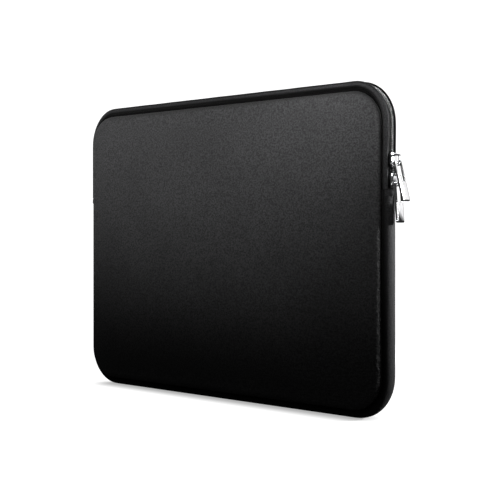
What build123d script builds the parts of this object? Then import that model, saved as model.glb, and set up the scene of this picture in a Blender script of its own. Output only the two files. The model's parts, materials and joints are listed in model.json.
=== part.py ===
from build123d import *
import math
import os

# A zipped neoprene laptop sleeve standing on its long bottom edge. Millimetres. X runs along the width,
# Y through the thickness (front at -Y) and Z up. The origin is the centre of the resting face.

# Outline: the crown is the outermost line that runs all round the edge.
WIDTH = 345.0
HEIGHT = 255.0
HALF_DEPTH = 11.0
CORNER = 33.0

# Padded panels, and the seams that join them to the edge band.
SEAM_INSET = 6.5
SEAM_DEPTH = 6.6
SEAM_ALLOWANCE = 3.0
PANEL_ROUND = 4.0
LINING_INSET = 10.0
LINING_DEPTH = 6.0

# Edge band: a gusset below the zip, two lips beside it.
GUSSET_THICKNESS = 3.0
CROWN_FLAT = 3.2
SHOULDER_INSET = 1.2
SHOULDER_DEPTH = 5.5
GUSSET_LINING_THICKNESS = 0.5
GUSSET_LINING_HALF_WIDTH = 2.4
GUSSET_INNER_TAPER = 0.6
GUSSET_INNER_STEP = 1.0
LIP_CROWN = 1.0
LIP_MOUTH = 3.9
LIP_BOTTOM = 2.4
LIP_ROUND = 1.0
LIP_EDGE = 0.4
LIP_SHOULDER = 0.3
ZIP_END = 172.5

# Seam bindings inside.
BINDING_NEAR = 9.8
BINDING_FAR = 12.5
BINDING_DEPTH = 4.6

# Zip chain. The middle gap is where the two coils mesh.
CHAIN_GAP = 0.75
COIL_TOP = 1.0
COIL_HALF_WIDTH = 2.1
TAPE_TOP = 2.4
TAPE_BOTTOM = 2.9
TAPE_HALF_WIDTH = 4.5

# End tabs, folded over the crown where the zip ends.
TAB_LOW = 168.6
TAB_HIGH = 172.4
TAB_RISE = 0.8
TAB_WIDER = 0.3

# The front folds forward about this height.
FOLD_HEIGHT = 200.0
FOLD_GAP = 0.3

# Sliders.
SLIDER_LENGTH = 11.0
SLIDER_HEAD = 3.6
SLIDER_TAIL = 3.2
SLIDER_NOSE_TAPER = 1.2
SLIDER_CORNER = 0.7
PLATE_TOP = -0.6
PLATE_UNDERSIDE = 0.6
FLANGE_BOTTOM = 2.0
FLANGE_INNER = 2.6
BOTTOM_PLATE_TOP = 3.2
BOTTOM_PLATE_UNDERSIDE = 4.4
POST_HALF_WIDTH = 0.4
POST_LENGTH = 3.0
POST_SETBACK = 1.0
BRIDGE_RISE = 5.5
BRIDGE_CLEAR = 4.2
BRIDGE_HALF_LENGTH = 4.5
BRIDGE_HALF_WIDTH = 1.5
BRIDGE_WALL = 1.5
BRIDGE_CORNER = 2.0
UPPER_SLIDER_HEIGHT = 194.1
LOWER_SLIDER_HEIGHT = 179.1

# Pulls. The bar at a pull's top turns under its slider's bridge.
PIVOT_RISE = 3.1
PIVOT_DROP = 2.0
PULL_LENGTH = 29.3
PULL_WIDTH = 9.0
PULL_THICKNESS = 1.8
PULL_BEVEL = 0.35
PULL_CORNER = 1.0
WINDOW_WIDTH = 6.0
WINDOW_END = 14.2
WINDOW_CORNER = 0.8
UPPER_PULL_TILT = 15.0
LOWER_PULL_TILT = 4.5

FRONT = -1
REAR = 1
TURN = "quarter turn"
DEPTH_AXIS = Vector(0, 1, 0)

# The straight stretches of the outline between its round corners.
SIDE_TOP = HEIGHT - CORNER
SIDE_ZIP = SIDE_TOP - ZIP_END
SIDE_GUSSET = ZIP_END - CORNER
LONG_RUN = WIDTH - 2 * CORNER
LEFT_ZIP_END = (-WIDTH / 2, 0, ZIP_END)
RIGHT_ZIP_END = (WIDTH / 2, 0, ZIP_END)
LEFT_SIDE_TOP = (-WIDTH / 2, 0, SIDE_TOP)
UP = (0, 0, 1)
DOWN = (0, 0, -1)
ROUND_THE_TOP = (TURN, LONG_RUN, TURN)


def run_along(points, start, heading, steps):
    """Run a closed section along straight lengths and quarter turns of the outline.

    The section's points are (inset from the crown, depth), and the run goes clockwise seen from the front.
    """
    corner = Vector(*start)
    heading = Vector(*heading)
    for step in steps:
        inward = DEPTH_AXIS.cross(heading)
        with BuildSketch(Plane(origin=corner, x_dir=inward, z_dir=heading)) as section:
            with BuildLine():
                Polyline(*points, close=True)
            make_face()
        if step == TURN:
            pivot = corner + inward * CORNER
            revolve(section.sketch, axis=Axis(pivot, DEPTH_AXIS), revolution_arc=90)
            corner = pivot + heading * CORNER
            heading = inward
        else:
            extrude(section.sketch, amount=step)
            corner = corner + heading * step


def rectangle_points(near, far, inner, outer):
    """The corners of a plain strip's section, between two insets and two depths."""
    return [(near, inner), (far, inner), (far, outer), (near, outer)]


def plate(side, inset, inner, outer):
    """A flat plate with the sleeve's rounded outline, between two depths on one side."""
    with BuildSketch(Plane.XZ.offset(-side * inner)) as outline:
        with Locations((0, HEIGHT / 2)):
            RectangleRounded(WIDTH - 2 * inset, HEIGHT - 2 * inset, CORNER - inset)
    extrude(outline.sketch, amount=-side * (outer - inner))


def padded_plate(side):
    """A panel: a thick plate whose outer edge is rounded all the way round."""
    plate(side, SEAM_INSET, SEAM_DEPTH, HALF_DEPTH)
    outer_face = faces().sort_by(Axis.Y)[0 if side == FRONT else -1]
    fillet(outer_face.edges(), PANEL_ROUND)


def binding_frame(side):
    """The bound seam's frame inside one panel."""
    plate(side, BINDING_NEAR, BINDING_DEPTH, LINING_DEPTH)
    with BuildSketch(Plane.XZ.offset(-side * BINDING_DEPTH)) as hole:
        with Locations((0, HEIGHT / 2)):
            RectangleRounded(
                WIDTH - 2 * BINDING_FAR, HEIGHT - 2 * BINDING_FAR, CORNER - BINDING_FAR
            )
    extrude(hole.sketch, amount=-side * (LINING_DEPTH - BINDING_DEPTH), mode=Mode.SUBTRACT)


def keep_below_fold():
    split(bisect_by=Plane.XY.offset(FOLD_HEIGHT), keep=Keep.BOTTOM)


def keep_above_fold():
    split(bisect_by=Plane.XY.offset(FOLD_HEIGHT + FOLD_GAP), keep=Keep.TOP)


def save(part, name):
    part.label = name
    export_step(part, f"parts/{name}.step")


# Sections of the edge band, as (inset, depth).
gusset_outside = [
    (SEAM_INSET, -SEAM_DEPTH),
    (SHOULDER_INSET, -SHOULDER_DEPTH),
    (0, -CROWN_FLAT),
    (0, CROWN_FLAT),
    (SHOULDER_INSET, SHOULDER_DEPTH),
    (SEAM_INSET, SEAM_DEPTH),
]
gusset_inside = [
    (SEAM_INSET + SEAM_ALLOWANCE, SEAM_DEPTH),
    (SHOULDER_INSET + GUSSET_THICKNESS, SHOULDER_DEPTH - GUSSET_INNER_STEP),
    (GUSSET_THICKNESS, CROWN_FLAT - GUSSET_INNER_TAPER),
    (GUSSET_THICKNESS, -CROWN_FLAT + GUSSET_INNER_TAPER),
    (SHOULDER_INSET + GUSSET_THICKNESS, -SHOULDER_DEPTH + GUSSET_INNER_STEP),
    (SEAM_INSET + SEAM_ALLOWANCE, -SEAM_DEPTH),
]
gusset_lining_section = rectangle_points(
    GUSSET_THICKNESS,
    GUSSET_THICKNESS + GUSSET_LINING_THICKNESS,
    -GUSSET_LINING_HALF_WIDTH,
    GUSSET_LINING_HALF_WIDTH,
)
tab_section = [
    (SHOULDER_INSET, -SHOULDER_DEPTH - TAB_RISE),
    (-TAB_RISE, -CROWN_FLAT - TAB_WIDER),
    (-TAB_RISE, CROWN_FLAT + TAB_WIDER),
    (SHOULDER_INSET, SHOULDER_DEPTH + TAB_RISE),
    (SHOULDER_INSET, SHOULDER_DEPTH),
    (0, CROWN_FLAT),
    (0, -CROWN_FLAT),
    (SHOULDER_INSET, -SHOULDER_DEPTH),
]


def lip_section(side):
    """One lip: from the seam over its crown to the zip, with the tape's seam underneath."""
    points = [
        (SEAM_INSET, SEAM_DEPTH),
        (LIP_CROWN + LIP_ROUND, SHOULDER_DEPTH + LIP_SHOULDER),
        (LIP_CROWN, LIP_MOUTH + LIP_ROUND),
        (LIP_CROWN, LIP_MOUTH + LIP_EDGE),
        (LIP_CROWN + LIP_EDGE, LIP_MOUTH),
        (LIP_BOTTOM, LIP_MOUTH),
        (LIP_BOTTOM, TAPE_HALF_WIDTH + 0.1),
        (SEAM_INSET + SEAM_ALLOWANCE, SHOULDER_DEPTH),
        (SEAM_INSET + SEAM_ALLOWANCE, SEAM_DEPTH),
    ]
    return [(inset, side * depth) for inset, depth in points]


def tape_section(side):
    return rectangle_points(TAPE_TOP, TAPE_BOTTOM, side * CHAIN_GAP, side * TAPE_HALF_WIDTH)


def coil_section(side):
    return rectangle_points(COIL_TOP, TAPE_TOP, side * CHAIN_GAP, side * COIL_HALF_WIDTH)


zip_sections = {"strip": lip_section, "tape": tape_section, "coil": coil_section}

os.makedirs("parts", exist_ok=True)

# Rear and front panels. The front one is cut at the fold.
with BuildPart() as rear_panel:
    padded_plate(REAR)
save(rear_panel.part, "rear_panel")

with BuildPart() as front_panel:
    padded_plate(FRONT)
    keep_below_fold()
save(front_panel.part, "front_panel")

with BuildPart() as front_panel_flap:
    padded_plate(FRONT)
    keep_above_fold()
save(front_panel_flap.part, "front_panel_flap")

# Linings, against the panels' inner faces.
with BuildPart() as rear_lining:
    plate(REAR, LINING_INSET, LINING_DEPTH, SEAM_DEPTH)
save(rear_lining.part, "rear_lining")

with BuildPart() as front_lining:
    plate(FRONT, LINING_INSET, LINING_DEPTH, SEAM_DEPTH)
    keep_below_fold()
save(front_lining.part, "front_lining")

with BuildPart() as front_lining_flap:
    plate(FRONT, LINING_INSET, LINING_DEPTH, SEAM_DEPTH)
    keep_above_fold()
save(front_lining_flap.part, "front_lining_flap")

# Bound seams, against the linings.
with BuildPart() as rear_seam_binding:
    binding_frame(REAR)
save(rear_seam_binding.part, "rear_seam_binding")

with BuildPart() as front_seam_binding:
    binding_frame(FRONT)
    keep_below_fold()
save(front_seam_binding.part, "front_seam_binding")

with BuildPart() as front_seam_binding_flap:
    binding_frame(FRONT)
    keep_above_fold()
save(front_seam_binding_flap.part, "front_seam_binding_flap")

# Gusset and its lining: down one side, along the bottom and up the other side.
ROUND_THE_BOTTOM = (SIDE_GUSSET, TURN, LONG_RUN, TURN, SIDE_GUSSET)

with BuildPart() as gusset:
    run_along(gusset_outside + gusset_inside, RIGHT_ZIP_END, DOWN, ROUND_THE_BOTTOM)
save(gusset.part, "gusset")

with BuildPart() as gusset_lining:
    run_along(gusset_lining_section, RIGHT_ZIP_END, DOWN, ROUND_THE_BOTTOM)
save(gusset_lining.part, "gusset_lining")

# Zip ends' tabs.
for name, edge, heading in (("left", -WIDTH / 2, UP), ("right", WIDTH / 2, DOWN)):
    tab_start = TAB_LOW if heading == UP else TAB_HIGH
    with BuildPart() as tab:
        run_along(tab_section, (edge, 0, tab_start), heading, (TAB_HIGH - TAB_LOW,))
    save(tab.part, f"zip_end_tab_{name}")

# Lips, tapes and coils. The rear ones run whole from end to end. The front ones are cut where the
# straight sides meet the corners, so the top stretch can go with the flap.
for piece, section_of in zip_sections.items():
    with BuildPart() as rear_piece:
        whole_zip = (SIDE_ZIP, *ROUND_THE_TOP, SIDE_ZIP)
        run_along(section_of(REAR), LEFT_ZIP_END, UP, whole_zip)
    save(rear_piece.part, f"rear_zip_{piece}")

    with BuildPart() as front_piece:
        run_along(section_of(FRONT), LEFT_SIDE_TOP, UP, ROUND_THE_TOP)
    save(front_piece.part, f"front_zip_{piece}")

    side_length = SIDE_ZIP - FOLD_GAP
    with BuildPart() as left_piece:
        run_along(section_of(FRONT), LEFT_ZIP_END, UP, (side_length,))
    save(left_piece.part, f"front_zip_{piece}_left")

    with BuildPart() as right_piece:
        right_start = (WIDTH / 2, 0, ZIP_END + side_length)
        run_along(section_of(FRONT), right_start, DOWN, (side_length,))
    save(right_piece.part, f"front_zip_{piece}_right")


def slider_outline(height, head):
    """A slider plate's outline, seen from outside: wider at its head than at its tail."""
    tail_end = height - head * SLIDER_LENGTH / 2
    head_end = height + head * SLIDER_LENGTH / 2
    shoulder = height + head * SLIDER_LENGTH / 5
    with BuildLine() as outline:
        Polyline(
            (-SLIDER_TAIL, tail_end),
            (SLIDER_TAIL, tail_end),
            (SLIDER_HEAD, shoulder),
            (SLIDER_HEAD - SLIDER_NOSE_TAPER, head_end),
            (-SLIDER_HEAD + SLIDER_NOSE_TAPER, head_end),
            (-SLIDER_HEAD, shoulder),
            close=True,
        )
    make_face(outline.edges())


def slider_body(height, head):
    """Two plates round the chain: flanges hold its sides, and a post at the head parts it."""
    crown = WIDTH / 2
    levels = (
        (PLATE_UNDERSIDE, PLATE_TOP),
        (BOTTOM_PLATE_UNDERSIDE, BOTTOM_PLATE_TOP),
    )
    for low, high in levels:
        with BuildSketch(Plane.YZ.offset(crown - low)) as plate_outline:
            slider_outline(height, head)
            fillet(plate_outline.vertices(), SLIDER_CORNER)
        extrude(plate_outline.sketch, amount=low - high)
    with BuildSketch(Plane.YZ.offset(crown - FLANGE_BOTTOM)) as flanges:
        slider_outline(height, head)
        fillet(flanges.vertices(), SLIDER_CORNER)
        with Locations((0, height)):
            Rectangle(2 * FLANGE_INNER, 2 * SLIDER_LENGTH, mode=Mode.SUBTRACT)
    extrude(flanges.sketch, amount=FLANGE_BOTTOM - PLATE_UNDERSIDE)
    post_height = height + head * (SLIDER_LENGTH - POST_LENGTH - POST_SETBACK) / 2
    with BuildSketch(Plane.YZ.offset(crown - BOTTOM_PLATE_TOP)) as post:
        with Locations((0, post_height)):
            Rectangle(2 * POST_HALF_WIDTH, POST_LENGTH)
    extrude(post.sketch, amount=BOTTOM_PLATE_TOP - PLATE_UNDERSIDE)


def slider_bridge(height):
    """The arch over a slider's plate that holds its pull."""
    foot = WIDTH / 2 - PLATE_TOP
    with BuildSketch(Plane.XZ) as arch:
        with Locations((foot + BRIDGE_RISE / 2, height)):
            Rectangle(BRIDGE_RISE, 2 * BRIDGE_HALF_LENGTH)
        fillet(arch.vertices().group_by(Axis.X)[-1], BRIDGE_CORNER)
        with Locations((foot + BRIDGE_CLEAR / 2, height)):
            Rectangle(
                BRIDGE_CLEAR, 2 * (BRIDGE_HALF_LENGTH - BRIDGE_WALL), mode=Mode.SUBTRACT
            )
    extrude(arch.sketch, amount=BRIDGE_HALF_WIDTH, both=True)


def slider_pull(height, tilt):
    """A bevelled plate with a window, hanging from a round bar and tilted outward."""
    lean = math.radians(tilt)
    pivot = (WIDTH / 2 - PLATE_TOP + PIVOT_RISE, 0, height - PIVOT_DROP)
    hang = Plane(origin=pivot, x_dir=(0, 1, 0), z_dir=(math.cos(lean), 0, math.sin(lean)))
    with BuildSketch(hang.offset(-PULL_THICKNESS / 2)) as face:
        with Locations((0, -PULL_LENGTH / 2)):
            Rectangle(PULL_WIDTH, PULL_LENGTH)
        fillet(face.vertices().group_by(Axis.Z)[0], PULL_CORNER)
    blank = extrude(face.sketch, amount=PULL_THICKNESS)
    chamfer(blank.faces().filter_by(hang).edges(), PULL_BEVEL)
    with BuildSketch(hang.offset(-PULL_THICKNESS)) as window:
        with Locations((0, -WINDOW_END / 2)):
            Rectangle(WINDOW_WIDTH, WINDOW_END)
        fillet(window.vertices().group_by(Axis.Z)[0], WINDOW_CORNER)
    extrude(window.sketch, amount=2 * PULL_THICKNESS, mode=Mode.SUBTRACT)
    with Locations(Location(pivot, (90, 0, 0))):
        Cylinder(PULL_THICKNESS / 2, PULL_WIDTH)


# The sliders wait at the right-hand zip end with their heads facing each other.
sliders = (
    ("upper", UPPER_SLIDER_HEIGHT, -1, UPPER_PULL_TILT),
    ("lower", LOWER_SLIDER_HEIGHT, 1, LOWER_PULL_TILT),
)
for place, slider_height, head_direction, pull_tilt in sliders:
    with BuildPart() as body:
        slider_body(slider_height, head_direction)
    save(body.part, f"{place}_slider_body")

    with BuildPart() as bridge:
        slider_bridge(slider_height)
    save(bridge.part, f"{place}_slider_bridge")

    with BuildPart() as pull:
        slider_pull(slider_height, pull_tilt)
    save(pull.part, f"{place}_pull")
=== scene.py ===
"""A padded laptop sleeve in black neoprene, standing on its long edge.

A zip with two sliders runs over the top between two rolled lips. Lengths are in metres: X runs along the
width, Y through the thickness with the front at -Y, and Z up.
"""

from __future__ import annotations

import json
import logging
import math
from dataclasses import dataclass
from enum import Enum
from typing import Callable, Sequence

import bmesh
import bpy
import numpy as np
from mathutils import Matrix, Vector
from mathutils.geometry import delaunay_2d_cdt


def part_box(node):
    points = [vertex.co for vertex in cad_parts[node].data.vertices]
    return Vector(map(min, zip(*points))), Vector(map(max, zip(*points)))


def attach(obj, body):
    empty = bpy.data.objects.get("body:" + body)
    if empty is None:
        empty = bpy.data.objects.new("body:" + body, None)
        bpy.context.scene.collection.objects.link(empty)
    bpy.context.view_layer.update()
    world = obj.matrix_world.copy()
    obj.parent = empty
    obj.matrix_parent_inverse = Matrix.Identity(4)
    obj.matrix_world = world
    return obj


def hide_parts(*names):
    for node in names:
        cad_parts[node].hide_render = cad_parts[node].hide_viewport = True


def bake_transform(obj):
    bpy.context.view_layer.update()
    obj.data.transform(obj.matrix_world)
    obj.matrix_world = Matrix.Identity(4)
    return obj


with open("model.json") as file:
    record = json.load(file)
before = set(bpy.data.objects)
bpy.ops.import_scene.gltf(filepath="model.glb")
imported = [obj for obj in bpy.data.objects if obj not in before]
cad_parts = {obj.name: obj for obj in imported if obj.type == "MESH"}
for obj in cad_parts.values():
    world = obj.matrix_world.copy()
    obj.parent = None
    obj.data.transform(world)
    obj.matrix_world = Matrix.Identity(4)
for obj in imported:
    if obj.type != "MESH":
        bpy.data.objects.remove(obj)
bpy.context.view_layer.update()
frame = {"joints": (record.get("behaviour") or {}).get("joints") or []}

log = logging.getLogger("laptop_sleeve")
MM = 0.001
SectionPoint = tuple[float, float]

# How far past the sliders the lips stay spread, and how far the chain stands open between their heads.
SPREAD_ABOVE = 9 * MM
SPREAD_BELOW = 3 * MM
CHAIN_PAST_HEAD = 2.5 * MM
CHAIN_OPEN = 0.75 * MM


class Side(Enum):
    """Which half of the sleeve a piece belongs to, with its sign along Y."""

    FRONT = -1
    REAR = 1


class Step(Enum):
    """A stretch of the crown line that isn't a straight run."""

    TURN = "quarter turn"


class Shade(Enum):
    """The near-black and metal colours of the sleeve, as linear RGB."""

    NEOPRENE = (0.022, 0.022, 0.023)
    NEOPRENE_FLECK = (0.082, 0.082, 0.084)
    # A slightly darker knit, for soft random clouds.
    SMUDGE = (0.012, 0.012, 0.012)
    LINT = (0.25, 0.25, 0.25)
    # Painted shade: the near-black that the knit is darkened towards in seams, under rolls and on edges that
    # face away from the lamps.
    SEAM = (0.0008, 0.0008, 0.0008)
    # The strips' knit, darker than the panels'.
    BAND = (0.017, 0.017, 0.018)
    BAND_FLECK = (0.052, 0.052, 0.054)
    LINING = (0.028, 0.028, 0.031)
    # Painted sheen: the lighter tone of pile that would catch the light.
    LINING_NAP_SHEEN = (0.045, 0.045, 0.05)
    WEBBING = (0.007, 0.007, 0.0075)
    # Painted shade in the hollows of the weave.
    WEBBING_HOLLOW_SHADE = (0.0025, 0.0025, 0.0025)
    NYLON = (0.007, 0.007, 0.0075)
    NYLON_RUBBED = (0.018, 0.018, 0.019)
    THREAD = (0.022, 0.022, 0.023)
    # Painted shade in the grooves of the thread's twist.
    THREAD_HOLLOW_SHADE = (0.010, 0.010, 0.010)
    PLATING = (0.80, 0.80, 0.81)
    PLATING_RUBBED = (0.70, 0.70, 0.71)


# ---------------------------------------------------------------------------------------------------------
# Sizes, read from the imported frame
# ---------------------------------------------------------------------------------------------------------


@dataclass(frozen=True)
class SleeveSizes:
    """The sleeve's main sizes.

    The crown is the outermost line of the edge. An inset is a distance inward from it, and a depth is a
    distance from the middle plane towards the front or the rear.
    """

    half_width: float
    height: float
    seam_inset: float
    seam_depth: float
    half_depth: float
    lining_depth: float
    zip_end: float
    fold: float
    corner: float = 33 * MM

    @classmethod
    def from_frame(cls) -> SleeveSizes:
        """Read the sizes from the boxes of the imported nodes.

        Returns:
            SleeveSizes: the sizes that every piece is worked out from.
        """
        _, gusset_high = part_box("gusset")
        _, panel_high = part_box("rear_panel")
        lining_low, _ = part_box("rear_lining")
        inset = gusset_high[0] - panel_high[0]
        hinge = next(joint for joint in frame["joints"] if joint["name"] == "mouth_open")
        return cls(
            half_width=gusset_high[0],
            height=panel_high[2] + inset,
            seam_inset=inset,
            seam_depth=gusset_high[1],
            half_depth=panel_high[1],
            lining_depth=lining_low[1],
            zip_end=gusset_high[2],
            fold=hinge["pos_m"][2],
        )


SIZES = SleeveSizes.from_frame()


# ---------------------------------------------------------------------------------------------------------
# The crown line
# ---------------------------------------------------------------------------------------------------------


@dataclass(frozen=True)
class Station:
    """A place on the crown line, with its inward direction and its distance along the line."""

    x: float
    z: float
    inward_x: float
    inward_z: float
    along: float

    def at(self, inset: float, depth: float) -> Vector:
        """Return the point at an inset and a signed depth from this place."""
        return Vector((self.x + inset * self.inward_x, depth, self.z + inset * self.inward_z))


class CrownPath:
    """A route along the crown, clockwise seen from the front, of straight runs and quarter turns."""

    def __init__(self, start: SectionPoint, heading: SectionPoint, steps: Sequence[float | Step]) -> None:
        """Lay the route out.

        Args:
            start: the first point, as (x, z).
            heading: the first direction, as (x, z).
            steps: the length of each straight run, or Step.TURN.
        """
        self.legs: list[tuple] = []
        point, direction, along = Vector(start), Vector(heading), 0.0
        for step in steps:
            inward = Vector((direction.y, -direction.x))
            turn = step is Step.TURN
            length = SIZES.corner * math.pi / 2 if turn else step
            self.legs.append((point.copy(), direction.copy(), inward.copy(), turn, along, length))
            along += length
            if turn:
                point = point + (inward + direction) * SIZES.corner
                direction = inward
            else:
                point = point + direction * step
        self.length = along

    @classmethod
    def zip_line(cls) -> CrownPath:
        """The zip's route: up the left side, over the top and down the right side.

        Returns:
            CrownPath: the route.
        """
        side = SIZES.height - SIZES.corner - SIZES.zip_end
        top = 2 * (SIZES.half_width - SIZES.corner)
        return cls((-SIZES.half_width, SIZES.zip_end), (0, 1), (side, Step.TURN, top, Step.TURN, side))

    @classmethod
    def gusset_line(cls) -> CrownPath:
        """The gusset's route: down the right side, along the bottom and up the left side.

        Returns:
            CrownPath: the route.
        """
        side = SIZES.zip_end - SIZES.corner
        bottom = 2 * (SIZES.half_width - SIZES.corner)
        return cls((SIZES.half_width, SIZES.zip_end), (0, -1), (side, Step.TURN, bottom, Step.TURN, side))

    @classmethod
    def whole_edge(cls) -> CrownPath:
        """The closed route all the way round, from the middle of the left side.

        Returns:
            CrownPath: the route.
        """
        half_side = SIZES.height / 2 - SIZES.corner
        run = 2 * (SIZES.half_width - SIZES.corner)
        steps = (half_side, Step.TURN, run, Step.TURN, 2 * half_side, Step.TURN, run, Step.TURN, half_side)
        return cls((-SIZES.half_width, SIZES.height / 2), (0, 1), steps)

    def station(self, along: float) -> Station:
        """Find the place at a distance along the route.

        Args:
            along: the distance from the route's start.

        Returns:
            Station: the place on the crown.
        """
        leg = next((leg for leg in self.legs if along <= leg[4] + leg[5] + 1e-9), self.legs[-1])
        point, direction, inward, turn, before, _ = leg
        travel = along - before
        if not turn:
            place = point + direction * travel
            return Station(place.x, place.y, inward.x, inward.y, along)
        angle = travel / SIZES.corner
        pivot = point + inward * SIZES.corner
        outward = -inward * math.cos(angle) + direction * math.sin(angle)
        place = pivot + outward * SIZES.corner
        return Station(place.x, place.y, -outward.x, -outward.y, along)

    def stations(self, pitch: float, firm_ends: bool = False) -> list[Station]:
        """Divide the route evenly, leg by leg.

        Args:
            pitch: the longest gap between places.
            firm_ends: True adds a place close to each end, so that a subdivided strip ends squarely.

        Returns:
            list[Station]: the places, from the start to the end.
        """
        found = [self.station(0.0)]
        for leg in self.legs:
            count = max(1, math.ceil(leg[5] / pitch))
            found += [self.station(leg[4] + leg[5] * (i + 1) / count) for i in range(count)]
        if firm_ends:
            found.insert(1, self.station(0.3 * MM))
            found.insert(-1, self.station(self.length - 0.3 * MM))
        return found


# ---------------------------------------------------------------------------------------------------------
# Mesh tools
# ---------------------------------------------------------------------------------------------------------


def new_piece(name: str, mesh: bpy.types.Mesh) -> bpy.types.Object:
    """Link a smooth-shaded object for a mesh, with its origin at the frame's origin.

    Args:
        name: the object's name.
        mesh: its mesh.

    Returns:
        bpy.types.Object: the piece.
    """
    mesh.polygons.foreach_set("use_smooth", [True] * len(mesh.polygons))
    piece = bpy.data.objects.new(name, mesh)
    bpy.context.scene.collection.objects.link(piece)
    return piece


def mesh_from(name: str, points: Sequence[Vector], faces: Sequence[Sequence[int]]) -> bpy.types.Mesh:
    """Make a mesh from points and faces.

    Args:
        name: the mesh's name.
        points: its points.
        faces: each face's points, by number.

    Returns:
        bpy.types.Mesh: the mesh.
    """
    mesh = bpy.data.meshes.new(name)
    mesh.from_pydata([tuple(point) for point in points], [], [tuple(face) for face in faces])
    mesh.update()
    return mesh


def face_outward(mesh: bpy.types.Mesh) -> None:
    """Point a closed mesh's faces outward.

    Args:
        mesh: a closed mesh.
    """
    work = bmesh.new()
    work.from_mesh(mesh)
    bmesh.ops.recalc_face_normals(work, faces=work.faces)
    work.to_mesh(mesh)
    work.free()


def mark_painted_shade(mesh: bpy.types.Mesh, values: Sequence[float]) -> None:
    """Store on each point how much painted shade the knit gets there, from 0 to 1: most in seams, under rolls
    and on edges that face away from the lamps.
    """
    attribute = mesh.attributes.new("painted_shade", "FLOAT", "POINT")
    attribute.data.foreach_set("value", list(values))


def sweep(
    name: str,
    stations: Sequence[Station],
    section: Callable[[Station], Sequence[SectionPoint]],
    closed_path: bool = False,
    painted_shade: Callable[[Station], Sequence[float]] | None = None,
) -> bpy.types.Object:
    """Sweep a closed section along the crown line.

    Args:
        name: the piece's name.
        stations: the places along the line.
        section: gives the section's (inset, signed depth) points at a place.
        closed_path: True if the last place joins the first.
        painted_shade: gives how much painted shade each of the section's points gets, 0 to 1.

    Returns:
        bpy.types.Object: the piece, with a UV map in metres along and across the strip.
    """
    rows = [[station.at(*point) for point in section(station)] for station in stations]
    across = len(rows[0])
    points = [point for row in rows for point in row]
    faces, uvs = [], []
    girth = [0.0]
    for i in range(across):
        girth.append(girth[-1] + (rows[0][(i + 1) % across] - rows[0][i]).length)
    pitch = stations[1].along - stations[0].along
    spans = len(rows) if closed_path else len(rows) - 1
    for j in range(spans):
        k = (j + 1) % len(rows)
        near = stations[j].along
        far = stations[k].along if k else near + pitch
        for i in range(across):
            n = (i + 1) % across
            faces.append((j * across + i, j * across + n, k * across + n, k * across + i))
            uvs += [(near, girth[i]), (near, girth[i + 1]), (far, girth[i + 1]), (far, girth[i])]
    if not closed_path:
        for start in (0, (len(rows) - 1) * across):
            faces.append(tuple(range(start, start + across)))
            uvs += [(p[0], p[1]) for p in section(stations[0])]
    mesh = mesh_from(name, points, faces)
    layer = mesh.uv_layers.new(name="cloth")
    layer.data.foreach_set("uv", [value for uv in uvs for value in uv])
    if painted_shade:
        mark_painted_shade(mesh, [value for station in stations for value in painted_shade(station)])
    face_outward(mesh)
    return new_piece(name, mesh)


def add_bevel(piece: bpy.types.Object, width: float, segments: int = 3) -> None:
    """Round a piece's sharp edges with a live Bevel modifier.

    Args:
        piece: the piece to round.
        width: the bevel's width.
        segments: the faces across each bevel.
    """
    bevel = piece.modifiers.new("edges", "BEVEL")
    bevel.width = width
    bevel.segments = segments
    bevel.limit_method = "ANGLE"
    bevel.angle_limit = math.radians(35)


def add_subdivision(piece: bpy.types.Object, levels: int) -> None:
    """Smooth a piece with a live Subdivision Surface modifier.

    Args:
        piece: the piece to smooth.
        levels: how often each face is divided.
    """
    smooth = piece.modifiers.new("smooth", "SUBSURF")
    smooth.levels = levels
    smooth.render_levels = levels


def apply_stack(piece: bpy.types.Object) -> None:
    """Turn a piece's modifier stack into its mesh.

    Args:
        piece: the piece, which keeps its name, place and materials.
    """
    bpy.context.view_layer.update()
    evaluated = piece.evaluated_get(bpy.context.evaluated_depsgraph_get())
    mesh = bpy.data.meshes.new_from_object(evaluated)
    piece.modifiers.clear()
    old = piece.data
    piece.data = mesh
    bpy.data.meshes.remove(old)


def positions(mesh: bpy.types.Mesh) -> np.ndarray:
    """Read a mesh's points as rows of x, y, z.

    Args:
        mesh: the mesh to read.

    Returns:
        np.ndarray: one row for each point.
    """
    flat = np.empty(len(mesh.vertices) * 3)
    mesh.vertices.foreach_get("co", flat)
    return flat.reshape(-1, 3)


def set_positions(mesh: bpy.types.Mesh, points: np.ndarray) -> None:
    """Write rows of x, y, z back to a mesh's points."""
    mesh.vertices.foreach_set("co", points.ravel())
    mesh.update()


def undulation(along: float, across: float, length: float) -> float:
    """A gentle unevenness between -1 and 1 that repeats nowhere on the sleeve.

    Args:
        along: distance along the cloth.
        across: distance across it.
        length: the unevenness's typical length.

    Returns:
        float: the height, before it is scaled.
    """
    u, v = along / length, across / length
    waves = (
        math.sin(1.9 * u + 0.7 * math.sin(1.3 * v + 0.4)),
        math.sin(3.1 * u + 1.7 * v + 1.1),
        math.sin(5.3 * u - 2.9 * v + 2.3),
    )
    return 0.5 * waves[0] + 0.3 * waves[1] + 0.2 * waves[2]


# ---------------------------------------------------------------------------------------------------------
# Shader building blocks
# ---------------------------------------------------------------------------------------------------------


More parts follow.
